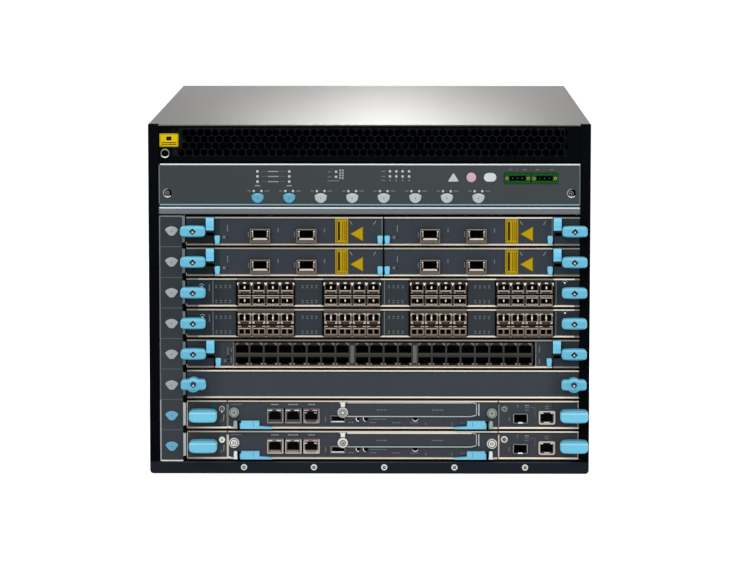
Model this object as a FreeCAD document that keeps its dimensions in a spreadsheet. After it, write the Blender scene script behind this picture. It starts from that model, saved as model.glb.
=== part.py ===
"""Modular chassis switch: an 8-slot rack chassis with cards, port modules, fans and supplies.

Millimetres. +Z is up, the front faces -Y and +X is to the right, seen from the front.
The origin is the centre of the chassis's underside. Cards, knobs and modules are drawn in
the frame of their own slot, whose z = 0 is the slot's lower edge, and are then placed.
"""

import FreeCAD, Part
import math
import os
from types import SimpleNamespace

from FreeCAD import Placement, Rotation, Vector

SIZES = {
    # Chassis and sheet metal
    "chassis_width": 443.2,
    "chassis_depth": 622.0,
    "sheet_thickness": 1.6,
    "seat_gap": 0.3,
    # Front frame
    "post_width": 10.0,
    "frame_depth": 14.0,
    "frame_corner_radius": 3.5,
    "sill_height": 11.8,
    # Slots and card cage
    "slot_count": 8,
    "slot_pitch": 31.0,
    "slots_above_sill": 1.5,
    "card_gap": 2.0,
    "card_side_gap": 0.5,
    "card_depth": 376.0,
    "strip_width": 26.0,
    "strip_thickness": 2.0,
    "strip_gap": 0.4,
    "strip_to_card": 1.4,
    "face_setback": 0.5,
    "face_thickness": 1.5,
    "rim_height": 1.6,
    "rim_proud": 1.0,
    "rim_depth": 16.0,
    "cage_wall": 1.5,
    "guide_reach": 3.6,
    "guide_height": 1.2,
    "guide_gap": 0.4,
    "midplane_thickness": 4.0,
    "connector_width": 46.0,
    "connector_height": 14.0,
    "connector_depth": 10.0,
    "connector_margin": 52.0,
    # Rail, display panel and air intake above the slots
    "rail_gap": 1.9,
    "rail_height": 8.1,
    "panel_gap": 0.4,
    "panel_height": 42.5,
    "panel_thickness": 3.0,
    "panel_proud": 1.0,
    "panel_bevel": 1.0,
    "panel_flange": 11.0,
    "grille_gap": 1.6,
    "grille_height": 35.4,
    "grille_thickness": 2.5,
    "grille_setback": 1.5,
    "hex_pitch": 7.6,
    "hex_across_flats": 6.6,
    "hex_rows": 4,
    "hex_margin_left": 26.6,
    "hex_margin_right": 13.6,
    "hex_margin_top": 6.2,
    "jack_from_edge": 6.5,
    "jack_below_top": 26.8,
    "jack_radius": 4.0,
    "jack_barrel_radius": 3.0,
    "jack_bore_radius": 2.05,
    "jack_length": 16.0,
    # Buttons and relay terminals on the display panel
    "button_width": 12.6,
    "button_height": 9.8,
    "button_length": 7.0,
    "button_proud": 1.4,
    "button_gap": 0.3,
    "button_bevel": 0.6,
    "button_pitch": 31.6,
    "button_first": -112.0,
    "button_above_panel": 7.8,
    "alarm_width": 12.6,
    "alarm_height": 9.0,
    "alarm_flat": 0.2,
    "alarm_bow": 0.1,
    "alarm_from_edge": 90.4,
    "alarm_above_panel": 28.9,
    "terminal_width": 26.0,
    "terminal_height": 10.2,
    "terminal_depth": 13.7,
    "terminal_proud": 1.6,
    "terminal_from_edge": 22.9,
    "terminal_gap": 1.0,
    "terminal_above_panel": 23.0,
    "socket_width": 16.4,
    "socket_height": 5.2,
    "socket_depth": 10.0,
    "captive_recess_radius": 4.6,
    "captive_recess_depth": 1.6,
    "captive_from_edge": 8.8,
    "captive_above_panel": 13.0,
    # Cards
    "tray_thickness": 1.2,
    "board_thickness": 2.0,
    "sink_width": 96.0,
    "sink_length": 110.0,
    "sink_height": 17.0,
    "sink_base": 3.0,
    "sink_left_margin": 53.0,
    "sink_right_margin": 83.0,
    "sink_fins": 7,
    "sink_fin_thickness": 2.2,
    "left_face_width": 28.3,
    "right_face_width": 27.0,
    "bay_gap": 0.5,
    "bay_wall": 1.0,
    # Wing knobs
    "knob_length": 25.0,
    "knob_height": 10.8,
    "knob_depth": 11.0,
    "knob_corner": 3.2,
    "knob_bow": 0.6,
    "knob_bevel": 1.2,
    "knob_from_post": 1.6,
    "knob_hub_radius": 5.0,
    "knob_spindle_radius": 2.5,
    "knob_spindle_length": 16.0,
    "knob_recess": 2.0,
    "knob_recess_width": 7.4,
    "knob_recess_height": 6.8,
    "knob_left_inset": 6.8,
    "knob_right_inset": 5.4,
    "knob_rise": 16.4,
    "boss_radius": 7.2,
    "boss_hole_radius": 4.2,
    "barrel_length": 28.2,
    "barrel_height": 12.8,
    "barrel_depth": 13.0,
    "barrel_corner": 4.5,
    "barrel_left_inset": 16.3,
    "barrel_right_inset": 4.9,
    "barrel_rise": 15.8,
    # Port modules and their ejector latches
    "module_depth": 190.0,
    "cage_outer_width": 19.8,
    "cage_outer_height": 13.8,
    "cage_proud": 5.5,
    "cage_lip": 1.1,
    "cage_pocket_depth": 46.0,
    "cage_first": 45.8,
    "cage_second": 92.4,
    "cage_rise": 11.4,
    "latch_width": 7.8,
    "latch_height": 12.6,
    "latch_depth": 7.0,
    "latch_inset": 0.5,
    "latch_rise": 17.3,
    "latch_recess_height": 6.2,
    "latch_recess_depth": 9.0,
    "latch_barrel_radius": 1.5,
    # Optics ports of the fixed cards
    "optic_pitch": 14.25,
    "optic_columns": 4,
    "optic_groups": 4,
    "optic_first": 51.2,
    "optic_last": 26.2,
    "optic_width": 12.6,
    "optic_lower_height": 5.0,
    "optic_upper_height": 7.0,
    "optic_block_height": 24.6,
    "optic_lower_rise": 4.6,
    "optic_upper_rise": 17.4,
    "optic_proud": 1.4,
    "optic_pocket": 6.0,
    # Copper jacks
    "jack_port_width": 12.4,
    "jack_port_height": 8.4,
    "jack_port_depth": 12.0,
    "jack_port_pitch": 14.45,
    "jack_port_edge": 22.0,
    "jack_port_middle": 4,
    "jack_port_group_gap": 5.2,
    "jack_lower_rise": 3.9,
    "jack_upper_rise": 16.4,
    # Fabric cards and control modules
    "fabric_left_face": 41.2,
    "fabric_right_face": 81.8,
    "control_depth": 300.0,
    "control_gap": 0.4,
    "rj_outer": 15.8,
    "rj_outer_height": 14.2,
    "rj_width": 12.2,
    "rj_height": 8.4,
    "rj_depth": 14.0,
    "rj_proud": 0.8,
    "rj_rise": 7.8,
    "rj_first": 47.3,
    "rj_pitch": 18.3,
    "usb_place": 110.5,
    "usb_width": 13.2,
    "usb_height": 5.4,
    "usb_rise": 8.2,
    "drive_place": 120.4,
    "drive_from_right": 21.1,
    "drive_rise": 15.4,
    "drive_height": 11.6,
    "drive_proud": 1.2,
    "drive_chamfer": 5.0,
    "drive_chamfer_rise": 1.9,
    "fabric_cage_place": 15.5,
    "fabric_cage_width": 13.4,
    "fabric_cage_height": 7.6,
    "fabric_rj_place": 41.5,
    "fabric_rj_rise": 6.2,
    # Control levers
    "lever_left_inset": 7.6,
    "lever_right_inset": 6.8,
    "lever_barrel_radius": 2.2,
    "lever_barrel_height": 7.0,
    "lever_rise": 1.9,
    "lever_block_start": 5.8,
    "lever_block_length": 18.2,
    "lever_block_height": 8.0,
    "lever_tip_length": 12.9,
    "lever_tip_height": 2.6,
    "lever_tip_end": 1.6,
    "lever_neck_gap": 1.3,
    "lever_neck_height": 5.6,
    "lever_thickness": 5.0,
    "lever_from_rim": 0.4,
    # Fan tray and air filter at the rear
    "plenum_width": 33.6,
    "tray_start": 50.0,
    "tray_side_gap": 1.6,
    "fan_count": 2,
    "fan_radius": 108.0,
    "fan_ring": 2.5,
    "fan_hub_radius": 50.0,
    "fan_blades": 7,
    "fan_blade_thickness": 2.4,
    "fan_blade_chord": 20.0,
    "fan_tip_gap": 3.0,
    "fan_blade_pitch": 32.0,
    "fan_depth": 25.0,
    "fan_spacing": 242.0,
    "fan_plate": 2.0,
    "pull_length": 96.0,
    "pull_reach": 26.0,
    "pull_bar": 9.0,
    "filter_thickness": 6.0,
    "filter_from_wall": 0.6,
    "filter_frame": 12.0,
    "media_setback": 1.5,
    "filter_bars": 8,
    "filter_bar_width": 2.5,
    # Power supplies and rear panel
    "supply_count": 4,
    "supply_side_gap": 9.0,
    "supply_depth": 250.0,
    "supply_gap": 2.0,
    "inlet_width": 24.0,
    "inlet_height": 16.0,
    "inlet_depth": 18.0,
    "inlet_place": 20.0,
    "inlet_rise": 14.0,
    "supply_grip_width": 46.0,
    "supply_grip_height": 6.0,
    "supply_grip_reach": 18.0,
    "stud_radius": 2.5,
    "stud_length": 4.8,
    "stud_spacing": 50.0,
    "stud_rise": 42.0,
    "shelf_from_rear": 3.0,
    # Side vents and rack bracket holes
    "vent_columns": 16,
    "vent_rows": 2,
    "vent_width": 14.0,
    "vent_height": 86.0,
    "vent_pitch": 26.0,
    "vent_row_pitch": 108.0,
    "vent_bottom": 34.0,
    "vent_start": 130.0,
    "bracket_hole_radius": 2.6,
    "bracket_spacing_along": 18.0,
    "bracket_spacing_up": 240.0,
    "bracket_from_front": 31.0,
    "bracket_height": 176.0,
}

doc = FreeCAD.newDocument("modular_chassis_switch")
sheet = doc.addObject("Spreadsheet::Sheet", "sizes")
for row, (alias, number) in enumerate(SIZES.items(), start=1):
    sheet.set(f"A{row}", alias)
    sheet.set(f"B{row}", str(number))
    sheet.setAlias(f"B{row}", alias)
doc.recompute()


class Size:
    """A length that holds its number and the sheet formula that gives it."""

    def __init__(self, number, formula):
        self.number = number
        self.formula = formula

    def __float__(self):
        return float(self.number)

    def __neg__(self):
        return Size(-self.number, f"(-{self.formula})")

    def __add__(self, other):
        return Size(self.number + float(other), f"({self.formula} + {formula(other)})")

    def __radd__(self, other):
        return Size(float(other) + self.number, f"({formula(other)} + {self.formula})")

    def __sub__(self, other):
        return Size(self.number - float(other), f"({self.formula} - {formula(other)})")

    def __mul__(self, other):
        return Size(self.number * float(other), f"({self.formula} * {formula(other)})")

    def __rmul__(self, other):
        return Size(float(other) * self.number, f"({formula(other)} * {self.formula})")

    def __truediv__(self, other):
        return Size(self.number / float(other), f"({self.formula} / {formula(other)})")


def formula(value):
    """The text that a bound property gets for a Size or a plain number."""
    return value.formula if isinstance(value, Size) else repr(float(value))


# How far a tool that cuts starts outside what it cuts
PAST = 1.0

# Corners of the shield outline, as shares of its half width and half height
SHIELD_SHOULDER = 0.55
SHIELD_CHEEK = (0.9, -0.2)
SHIELD_JAW = (0.5, -0.78)


def count(value):
    return int(round(float(value)))


s = SimpleNamespace(**{alias: Size(float(sheet.get(alias)), f"sizes.{alias}") for alias in SIZES})

# Main planes of the chassis, all worked out from the sheet
half_width = s.chassis_width / 2
front = -(s.chassis_depth / 2)
rear = s.chassis_depth / 2
wall_inner = half_width - s.sheet_thickness
post_inner = half_width - s.post_width
slots_bottom = s.sill_height + s.slots_above_sill
slots_top = slots_bottom + s.slot_pitch * s.slot_count
rail_bottom = slots_top + s.rail_gap
rail_top = rail_bottom + s.rail_height
panel_bottom = rail_top + s.panel_gap
panel_top = panel_bottom + s.panel_height
grille_bottom = panel_top + s.grille_gap
grille_top = grille_bottom + s.grille_height
chassis_height = grille_top + s.seat_gap + s.sheet_thickness
cover_bottom = grille_top + s.seat_gap

# Planes that the cards share, across the chassis and into its depth
strip_left = -(post_inner - s.strip_gap)
strip_right = strip_left + s.strip_width
card_left = strip_right + s.strip_to_card
card_right = post_inner - s.card_side_gap
rim_front = front + s.face_setback
face_front = rim_front + s.rim_proud
face_back = face_front + s.face_thickness
board_left = strip_right + 2 * s.guide_gap
board_right = card_right - s.guide_reach
cage_left = strip_right - s.seat_gap
cage_right = board_right + 2 * s.guide_gap
filter_left = wall_inner - s.filter_from_wall - s.filter_thickness
board_end = front + s.card_depth
midplane_front = board_end + s.connector_depth + 2 * s.seat_gap
midplane_back = midplane_front + s.midplane_thickness
plenum_top = rail_top - s.sheet_thickness

# Heights inside one slot, above its lower edge
card_low = s.card_gap / 2
card_high = s.slot_pitch - s.card_gap / 2
tray_top = card_low + s.tray_thickness
board_low = card_low + s.rim_height
board_top = board_low + s.board_thickness
module_low = card_low + s.rim_height + s.seat_gap
module_high = card_high - s.rim_height - s.seat_gap

# Bays for the port modules and the control modules
bay_left = card_left + s.left_face_width
bay_right = card_right - s.right_face_width
control_left = card_left + s.fabric_left_face
control_right = card_right - s.fabric_right_face

subparts = []


def vector(x, y, z):
    return Vector(float(x), float(y), float(z))


def bind_base(item, x, y, z):
    for axis, place in zip("xyz", (x, y, z)):
        item.setExpression(f"Placement.Base.{axis}", formula(place))
    return item


def box(name, x, y, z):
    """A block between two places along each axis, bound to the sheet."""
    block = doc.addObject("Part::Box", name)
    for side, (low, high) in zip(("Length", "Width", "Height"), (x, y, z)):
        block.setExpression(side, f"{formula(high)} - {formula(low)}")
    return bind_base(block, x[0], y[0], z[0])


def cylinder(name, radius, length, base, direction):
    """A round bar that starts at base and runs along direction."""
    bar = doc.addObject("Part::Cylinder", name)
    bar.setExpression("Radius", formula(radius))
    bar.setExpression("Height", formula(length))
    bar.Placement = Placement(Vector(0, 0, 0), Rotation(Vector(0, 0, 1), direction))
    return bind_base(bar, *base)


def shaped(name, shape):
    """A piece whose form comes from curves and patterns worked out below."""
    item = doc.addObject("Part::Feature", name)
    item.Shape = shape
    return item


def fuse(name, items):
    joined = doc.addObject("Part::MultiFuse", name)
    joined.Shapes = items
    joined.Refine = True
    return joined


def cut(name, base, tool):
    rest = doc.addObject("Part::Cut", name)
    rest.Base = base
    rest.Tool = tool
    rest.Refine = True
    return rest


def subpart(item, label, place=None):
    """Names a finished piece and, where it was drawn about a point of its own, puts it in its place."""
    item.Label = label
    if place:
        bind_base(item, *place)
    subparts.append(item)
    return item


def block_shape(x, y, z):
    """A plain block shape between two places along each axis."""
    size = [float(high) - float(low) for low, high in (x, y, z)]
    return Part.makeBox(*size, vector(x[0], y[0], z[0]))


def prism(wire, depth, direction=Vector(0, 1, 0)):
    return Part.Face(wire).extrude(direction * float(depth))


def softened(outline, depth, bevel):
    """An outline drawn back along +Y, with a slanted edge all round its front."""
    step = float(bevel)
    face = outline.makeOffset2D(-step)
    shoulder = outline.copy()
    shoulder.translate(Vector(0, step, 0))
    nose = Part.makeLoft([face, shoulder], True, True)
    return nose.fuse(prism(shoulder, float(depth) - step)).removeSplitter()


def rounded_outline(length, height, corner, bow, y):
    """Outline in the plane of one y: rounded corners, ends straight, long sides bowed out."""
    half = float(length) / 2
    tall = float(height) / 2
    low = tall - float(bow)
    r = float(corner)
    k = r * (1 - math.sqrt(0.5))

    def p(x, z):
        return vector(x, y, z)

    edges = []
    for sign in (1, -1):
        a, b = sign * half, sign * low
        inset, turn = sign * r, sign * k
        edges.append(Part.LineSegment(p(a, -b + inset), p(a, b - inset)).toShape())
        edges.append(Part.Arc(p(a, b - inset), p(a - turn, b - turn), p(a - inset, b)).toShape())
        edges.append(Part.Arc(p(a - inset, b), p(0, sign * tall), p(-a + inset, b)).toShape())
        edges.append(Part.Arc(p(-a + inset, b), p(-a + turn, b - turn), p(-a, b - inset)).toShape())
    return Part.Wire(Part.__sortEdges__(edges))


def bevelled_bar(length, height, corner, bow, depth, bevel):
    """A bar along X, its front at -depth: long sides bowed out, corners round, front edge slanted."""
    half = float(length) / 2
    tall = float(height) / 2
    low = tall - float(bow)
    y = -float(depth)
    corners = [Vector(half, y, -low), Vector(half, y, low), Vector(-half, y, low), Vector(-half, y, -low)]
    crowns = [Vector(0, y, tall), Vector(0, y, -tall)]
    sides = [Part.LineSegment(corners[0], corners[1]), Part.Arc(corners[1], crowns[0], corners[2]),
             Part.LineSegment(corners[2], corners[3]), Part.Arc(corners[3], crowns[1], corners[0])]
    bar = prism(Part.Wire([side.toShape() for side in sides]), depth)
    uprights = [edge for edge in bar.Edges if edge.BoundBox.YLength > float(depth) / 2]
    bar = bar.makeFillet(float(corner), uprights)
    return bar.makeChamfer(float(bevel), front_edges(bar, y))


def front_edges(shape, y):
    """The edges of a shape that lie in the plane of one y."""
    return [e for e in shape.Edges if abs(e.BoundBox.YMin - y) < 1e-6 and abs(e.BoundBox.YMax - y) < 1e-6]


def make_front_frame():
    outer = box("frame_blank", (-half_width, half_width), (front, front + s.frame_depth), (0, chassis_height))
    window = box("frame_window", (-post_inner, post_inner),
                 (front - PAST, front + s.frame_depth + PAST), (s.sill_height, chassis_height + PAST))
    frame = cut("frame_cut", outer, window)
    corners = doc.addObject("Part::Fillet", "frame_corners")
    corners.Base = frame
    doc.recompute()
    radius = float(s.frame_corner_radius)
    edges = []
    for index, edge in enumerate(frame.Shape.Edges, start=1):
        place = edge.BoundBox
        upright = place.ZMax - place.ZMin < 1e-6 and place.YMax - place.YMin > 1
        if upright and place.ZMax < 1e-6:
            edges.append((index, radius, radius))
    corners.Edges = edges
    subpart(corners, "front_frame")


def make_chassis_shell():
    back = front + s.frame_depth
    floor = box("shell_floor", (-half_width, half_width), (back, rear), (0, s.sheet_thickness))
    left = box("shell_left", (-half_width, -wall_inner), (back, rear), (0, cover_bottom))
    right = box("shell_right", (wall_inner, half_width), (back, rear), (0, cover_bottom))
    vents = []
    for side in (-half_width, wall_inner):
        for column in range(count(s.vent_columns)):
            for row in range(count(s.vent_rows)):
                y = front + s.vent_start + s.vent_pitch * column
                z = s.vent_bottom + s.vent_row_pitch * row
                vents.append(block_shape((side - PAST, side + s.sheet_thickness + PAST),
                                         (y, y + s.vent_width), (z, z + s.vent_height)))
        for along in (-0.5, 0.5):
            for up in (-0.5, 0.5):
                y = front + s.bracket_from_front + s.bracket_spacing_along * along
                z = s.bracket_height + s.bracket_spacing_up * up
                vents.append(Part.makeCylinder(float(s.bracket_hole_radius), float(s.sheet_thickness) + 2,
                                               vector(side - PAST, y, z), Vector(1, 0, 0)))
    openings = shaped("shell_openings", Part.makeCompound(vents))
    shell = fuse("shell_walls", [floor, left, right])
    subpart(cut("shell_cut", shell, openings), "chassis_shell")


def make_top_cover():
    plate = box("cover_plate", (-half_width, half_width), (front + s.frame_depth, rear),
                (cover_bottom, chassis_height))
    lip = box("cover_lip", (-post_inner + s.seat_gap, post_inner - s.seat_gap),
              (front, front + s.frame_depth), (cover_bottom, chassis_height))
    subpart(fuse("cover_sheet", [plate, lip]), "top_cover")


def make_intake_grille():
    y = front + s.grille_setback
    half = post_inner - s.strip_gap
    corners = [vector(-half, y, grille_bottom), vector(half, y, grille_bottom),
               vector(half, y, grille_top), vector(-half, y, grille_top)]
    wires = [Part.makePolygon(corners + corners[:1])]
    radius = float(s.hex_across_flats) / math.sqrt(3)
    pitch = float(s.hex_pitch)
    row_pitch = pitch * math.sqrt(0.75)
    left = -float(half) + float(s.hex_margin_left)
    right = float(half) - float(s.hex_margin_right)
    for row in range(count(s.hex_rows)):
        z = float(grille_top) - float(s.hex_margin_top) - row * row_pitch
        x = left + (pitch / 2 if row % 2 else 0.0)
        below_label = z < float(grille_top) - float(s.jack_below_top) + float(s.jack_radius)
        if below_label:
            x -= pitch
        while x <= right:
            ring = [Vector(x + radius * math.sin(math.radians(60 * k)), float(y),
                           z + radius * math.cos(math.radians(60 * k))) for k in range(6)]
            wires.append(Part.makePolygon(ring + ring[:1]))
            x += pitch
    jack_x = -half + s.jack_from_edge
    jack_z = grille_top - s.jack_below_top
    hole = Part.makeCircle(float(s.jack_barrel_radius + s.seat_gap), vector(jack_x, y, jack_z),
                           Vector(0, 1, 0))
    wires.append(Part.Wire(hole))
    plate = Part.Face(wires, "Part::FaceMakerBullseye").extrude(Vector(0, float(s.grille_thickness), 0))

    bore = float(s.jack_bore_radius)
    rim = float(s.jack_radius)
    barrel = float(s.jack_barrel_radius)
    head = float(y) - float(s.strip_gap) * 2
    profile = [(bore, head), (rim, head), (rim, float(y)), (barrel, float(y)),
               (barrel, head + float(s.jack_length)), (bore, head + float(s.jack_length))]
    points = [Vector(r, at, 0) for r, at in profile]
    jack = Part.Face(Part.makePolygon(points + points[:1])).revolve(Vector(0, 0, 0), Vector(0, 1, 0), 360)
    jack.translate(vector(jack_x, 0, jack_z))
    subpart(shaped("grille_and_jack", Part.makeCompound([plate, jack])), "intake_grille")


def make_label_strip():
    strip = box("strip", (strip_left, strip_right), (face_front, face_front + s.strip_thickness),
                (s.sill_height + s.strip_gap, slots_top + s.strip_gap))
    subpart(strip, "label_strip")


def make_card_cage():
    rims_end = rim_front + 2 * s.rim_depth + s.seat_gap
    items = [box("cage_left", (cage_left - s.cage_wall, cage_left), (front + s.frame_depth, midplane_back),
                 (s.sheet_thickness, plenum_top)),
             box("cage_left_front", (cage_left - s.cage_wall, cage_left),
                 (face_front + s.strip_thickness, front + s.frame_depth), (slots_bottom, plenum_top)),
             box("cage_right", (cage_right, cage_right + s.cage_wall), (rims_end, midplane_back),
                 (s.sheet_thickness, plenum_top)),
             box("cage_floor", (cage_left - s.cage_wall, cage_right + s.cage_wall),
                 (front + s.frame_depth, midplane_back), (slots_bottom - s.sheet_thickness - s.strip_gap,
                                                          slots_bottom - s.strip_gap)),
             box("shelf", (-wall_inner + s.seat_gap, wall_inner - s.seat_gap),
                 (front + s.frame_depth, rear - s.shelf_from_rear), (plenum_top, rail_top)),
             box("shelf_front", (-post_inner + s.strip_gap, post_inner - s.strip_gap),
                 (face_front, front + s.frame_depth), (plenum_top, rail_top)),
             box("rail", (-post_inner + s.strip_gap, post_inner - s.strip_gap),
                 (face_front, face_front + s.sheet_thickness), (rail_bottom, rail_top))]
    ledges = []
    back = board_end - s.guide_reach
    for slot in range(count(s.slot_count)):
        base = slots_bottom + s.slot_pitch * slot
        for low, high in ((card_low - s.guide_gap - s.guide_height, card_low - s.guide_gap),
                          (board_top + s.guide_gap, board_top + s.guide_gap + s.guide_height)):
            ledges.append(block_shape((cage_left - s.cage_wall, cage_left + s.guide_reach),
                                      (rims_end, back), (base + low, base + high)))
            ledges.append(block_shape((cage_right - s.guide_reach, cage_right + s.cage_wall),
                                      (rims_end, back), (base + low, base + high)))
    guides = shaped("card_guides", Part.makeCompound(ledges))
    subpart(fuse("cage", items + [guides]), "card_cage")


def make_midplane():
    plate = box("midplane_board", (cage_left + s.seat_gap, cage_right - s.seat_gap),
                (midplane_front, midplane_back), (slots_bottom, slots_top))
    sockets = []
    for slot in range(count(s.slot_count)):
        low = slots_bottom + s.slot_pitch * slot + board_top
        for place in connector_places():
            sockets.append(block_shape((place, place + s.connector_width),
                                       (midplane_front - s.connector_depth, midplane_front + PAST),
                                       (low, low + s.connector_height)))
    subpart(fuse("midplane_sockets", [plate, shaped("sockets", Part.makeCompound(sockets))]), "midplane")


def connector_places():
    """Left edges of the three connectors along a card's rear edge."""
    first = board_left + s.connector_margin
    last = board_right - s.connector_margin - s.connector_width
    return [first, (first + last) / 2, last]


def make_rear_panel():
    panel = box("rear_sheet", (-wall_inner + s.plenum_width, filter_left - s.seat_gap),
                (rear - s.sheet_thickness, rear), (s.sheet_thickness, rail_top - s.sheet_thickness))
    posts = []
    for side in (-1, 1):
        posts.append(cylinder(f"ground_stud_{side}", s.stud_radius, s.stud_length,
                              (side * s.stud_spacing / 2, rear, s.stud_rise), Vector(0, 1, 0)))
    subpart(fuse("rear_panel_fused", [panel] + posts), "rear_panel")


def shield_outline(grow, y):
    """Button outline: arched top, sides that draw in, and a shallow point below."""
    half = float(s.button_width) / 2
    tall = float(s.button_height) / 2
    points = [Vector(-half, y, tall * SHIELD_SHOULDER), Vector(0, y, tall),
              Vector(half, y, tall * SHIELD_SHOULDER),
              Vector(half * SHIELD_CHEEK[0], y, tall * SHIELD_CHEEK[1]),
              Vector(half * SHIELD_JAW[0], y, tall * SHIELD_JAW[1]), Vector(0, y, -tall)]
    left = [Vector(-p.x, p.y, p.z) for p in points]
    edges = [Part.Arc(points[0], points[1], points[2]).toShape(),
             Part.LineSegment(points[2], points[3]).toShape(),
             Part.Arc(points[3], points[4], points[5]).toShape(),
             Part.Arc(left[5], left[4], left[3]).toShape(),
             Part.LineSegment(left[3], points[0]).toShape()]
    wire = Part.Wire(Part.__sortEdges__(edges))
    if float(grow) == 0:
        return wire
    return wire.makeOffset2D(float(grow))


def button_places():
    z = panel_bottom + s.button_above_panel
    return [(s.button_first + s.button_pitch * index, z) for index in range(count(s.slot_count))]


def make_display_panel():
    y = front - s.panel_proud
    half = post_inner - s.strip_gap
    plate = block_shape((-half, half), (y, y + s.panel_thickness), (panel_bottom, panel_top))
    plate = plate.makeChamfer(float(s.panel_bevel), front_edges(plate, float(y)))
    flange = block_shape((-half, half), (y + s.panel_thickness, y + s.panel_thickness + s.panel_flange),
                         (panel_bottom, panel_top))
    wall = s.sheet_thickness
    hollow = block_shape((-half + wall, half - wall),
                         (y + s.panel_thickness, y + s.panel_thickness + s.panel_flange - wall),
                         (panel_bottom + wall, panel_top - wall))
    body = plate.fuse(flange).cut(hollow)
    holes = []
    reach = s.panel_thickness + 2 * PAST
    for x, z in button_places():
        hole = prism(shield_outline(s.button_gap, float(y) - PAST), reach)
        hole.translate(vector(x, 0, z))
        holes.append(hole)
    alarm = prism(alarm_outline(s.button_gap, float(y) - PAST), reach)
    alarm.translate(vector(half - s.alarm_from_edge, 0, panel_bottom + s.alarm_above_panel))
    holes.append(alarm)
    for x, z in terminal_places():
        holes.append(block_shape((x - s.seat_gap, x + s.terminal_width + s.seat_gap),
                                 (y - PAST, y + s.panel_thickness + PAST),
                                 (z - s.seat_gap, z + s.terminal_height + s.seat_gap)))
    for side in (-1, 1):
        holes.append(Part.makeCylinder(float(s.captive_recess_radius), float(s.captive_recess_depth) + PAST,
                                       vector(side * (half - s.captive_from_edge), y - PAST,
                                              panel_bottom + s.captive_above_panel), Vector(0, 1, 0)))
    subpart(shaped("panel_and_board", body.cut(Part.makeCompound(holes)).removeSplitter()), "display_panel")


def alarm_outline(grow, y):
    width = float(s.alarm_width) + 2 * float(grow)
    height = float(s.alarm_height) + 2 * float(grow)
    return rounded_outline(width, height, height / 2 - float(s.alarm_flat), s.alarm_bow, y)


def make_buttons():
    y = front - s.panel_proud - s.button_proud
    for index, (x, z) in enumerate(button_places(), start=1):
        cap = softened(shield_outline(0, 0.0), s.button_length, s.button_bevel)
        subpart(shaped(f"button_cap_{index}", cap), f"slot_button_{index}", (x, y, z))
    cap = softened(alarm_outline(0, 0.0), s.button_length, s.button_bevel)
    x = post_inner - s.strip_gap - s.alarm_from_edge
    subpart(shaped("alarm_cap", cap), "alarm_button", (x, y, panel_bottom + s.alarm_above_panel))


def terminal_places():
    z = panel_bottom + s.terminal_above_panel
    right = post_inner - s.strip_gap - s.terminal_from_edge - s.terminal_width
    return [(right - s.terminal_width - s.terminal_gap, z), (right, z)]


def make_relay_terminals():
    y = front - s.panel_proud - s.terminal_proud
    blocks = []
    for index, (x, z) in enumerate(terminal_places()):
        body = box(f"terminal_{index}", (x, x + s.terminal_width), (y, y + s.terminal_depth),
                   (z, z + s.terminal_height))
        side = (s.terminal_width - s.socket_width) / 2
        up = (s.terminal_height - s.socket_height) / 2
        socket = box(f"terminal_socket_{index}", (x + side, x + side + s.socket_width),
                     (y - PAST, y + s.socket_depth), (z + up, z + up + s.socket_height))
        blocks.append(cut(f"terminal_cut_{index}", body, socket))
    pair = doc.addObject("Part::Compound", "terminal_pair")
    pair.Links = blocks
    subpart(pair, "relay_terminals")


def heat_sink(x, y):
    """A comb of fins on a base, drawn as one outline and extruded along the air flow."""
    low = float(board_top)
    high = low + float(s.sink_height)
    base = low + float(s.sink_base)
    pitch = (float(s.sink_length) - float(s.sink_fin_thickness)) / (count(s.sink_fins) - 1)
    at = float(y)
    points = [Vector(0, at, low)]
    for fin in range(count(s.sink_fins)):
        start = at + fin * pitch
        end = start + float(s.sink_fin_thickness)
        points += [Vector(0, start, high), Vector(0, end, high)]
        if fin < count(s.sink_fins) - 1:
            points += [Vector(0, end, base), Vector(0, start + pitch, base)]
    points.append(Vector(0, at + float(s.sink_length), low))
    comb = prism(Part.makePolygon(points + points[:1]), s.sink_width, Vector(1, 0, 0))
    comb.translate(vector(x, 0, 0))
    return comb


def card_body(name, faces, board_front):
    """Channel rims, face plates, tray, guide edges, board, connectors and heat sinks of a card."""
    items = [box(f"{name}_low_rim", (card_left, card_right), (rim_front, rim_front + s.rim_depth),
                 (card_low, card_low + s.rim_height)),
             box(f"{name}_high_rim", (card_left, card_right), (rim_front, rim_front + s.rim_depth),
                 (card_high - s.rim_height, card_high)),
             box(f"{name}_tray", (card_left, board_right), (rim_front, board_end),
                 (card_low, tray_top))]
    for index, (left, right) in enumerate(faces):
        items.append(box(f"{name}_face_{index}", (left, right), (face_front, face_back),
                         (card_low, card_high)))
    for index, (left, right) in enumerate(((board_left, bay_left - s.bay_gap - s.bay_wall),
                                           (bay_right + s.bay_gap + s.bay_wall, board_right))):
        items.append(box(f"{name}_edge_{index}", (left, right), (face_back, board_end),
                         (tray_top, board_top)))
    items.append(box(f"{name}_board", (board_left, board_right), (board_front, board_end),
                     (tray_top, board_top)))
    shapes = []
    for place in connector_places():
        shapes.append(block_shape((place, place + s.connector_width),
                                  (board_end - s.connector_depth, board_end),
                                  (board_top, board_top + s.connector_height)))
    for x in (board_left + s.sink_left_margin, board_right - s.sink_right_margin - s.sink_width):
        shapes.append(heat_sink(x, board_end - s.sink_length - 3 * s.connector_depth))
    items.append(shaped(f"{name}_devices", Part.makeCompound(shapes)))
    return items


def bay_walls(name, edges, depth):
    """Upright side walls of the bays that the modules slide into."""
    return [box(f"{name}_bay_wall_{index}", (x, x + s.bay_wall), (face_front, front + depth),
                (card_low, card_high - s.rim_height - s.seat_gap)) for index, x in enumerate(edges)]


def slot_base(slot):
    """Lower edge of a slot, counted from 1 at the top."""
    return slots_bottom + s.slot_pitch * (s.slot_count - slot)


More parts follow.
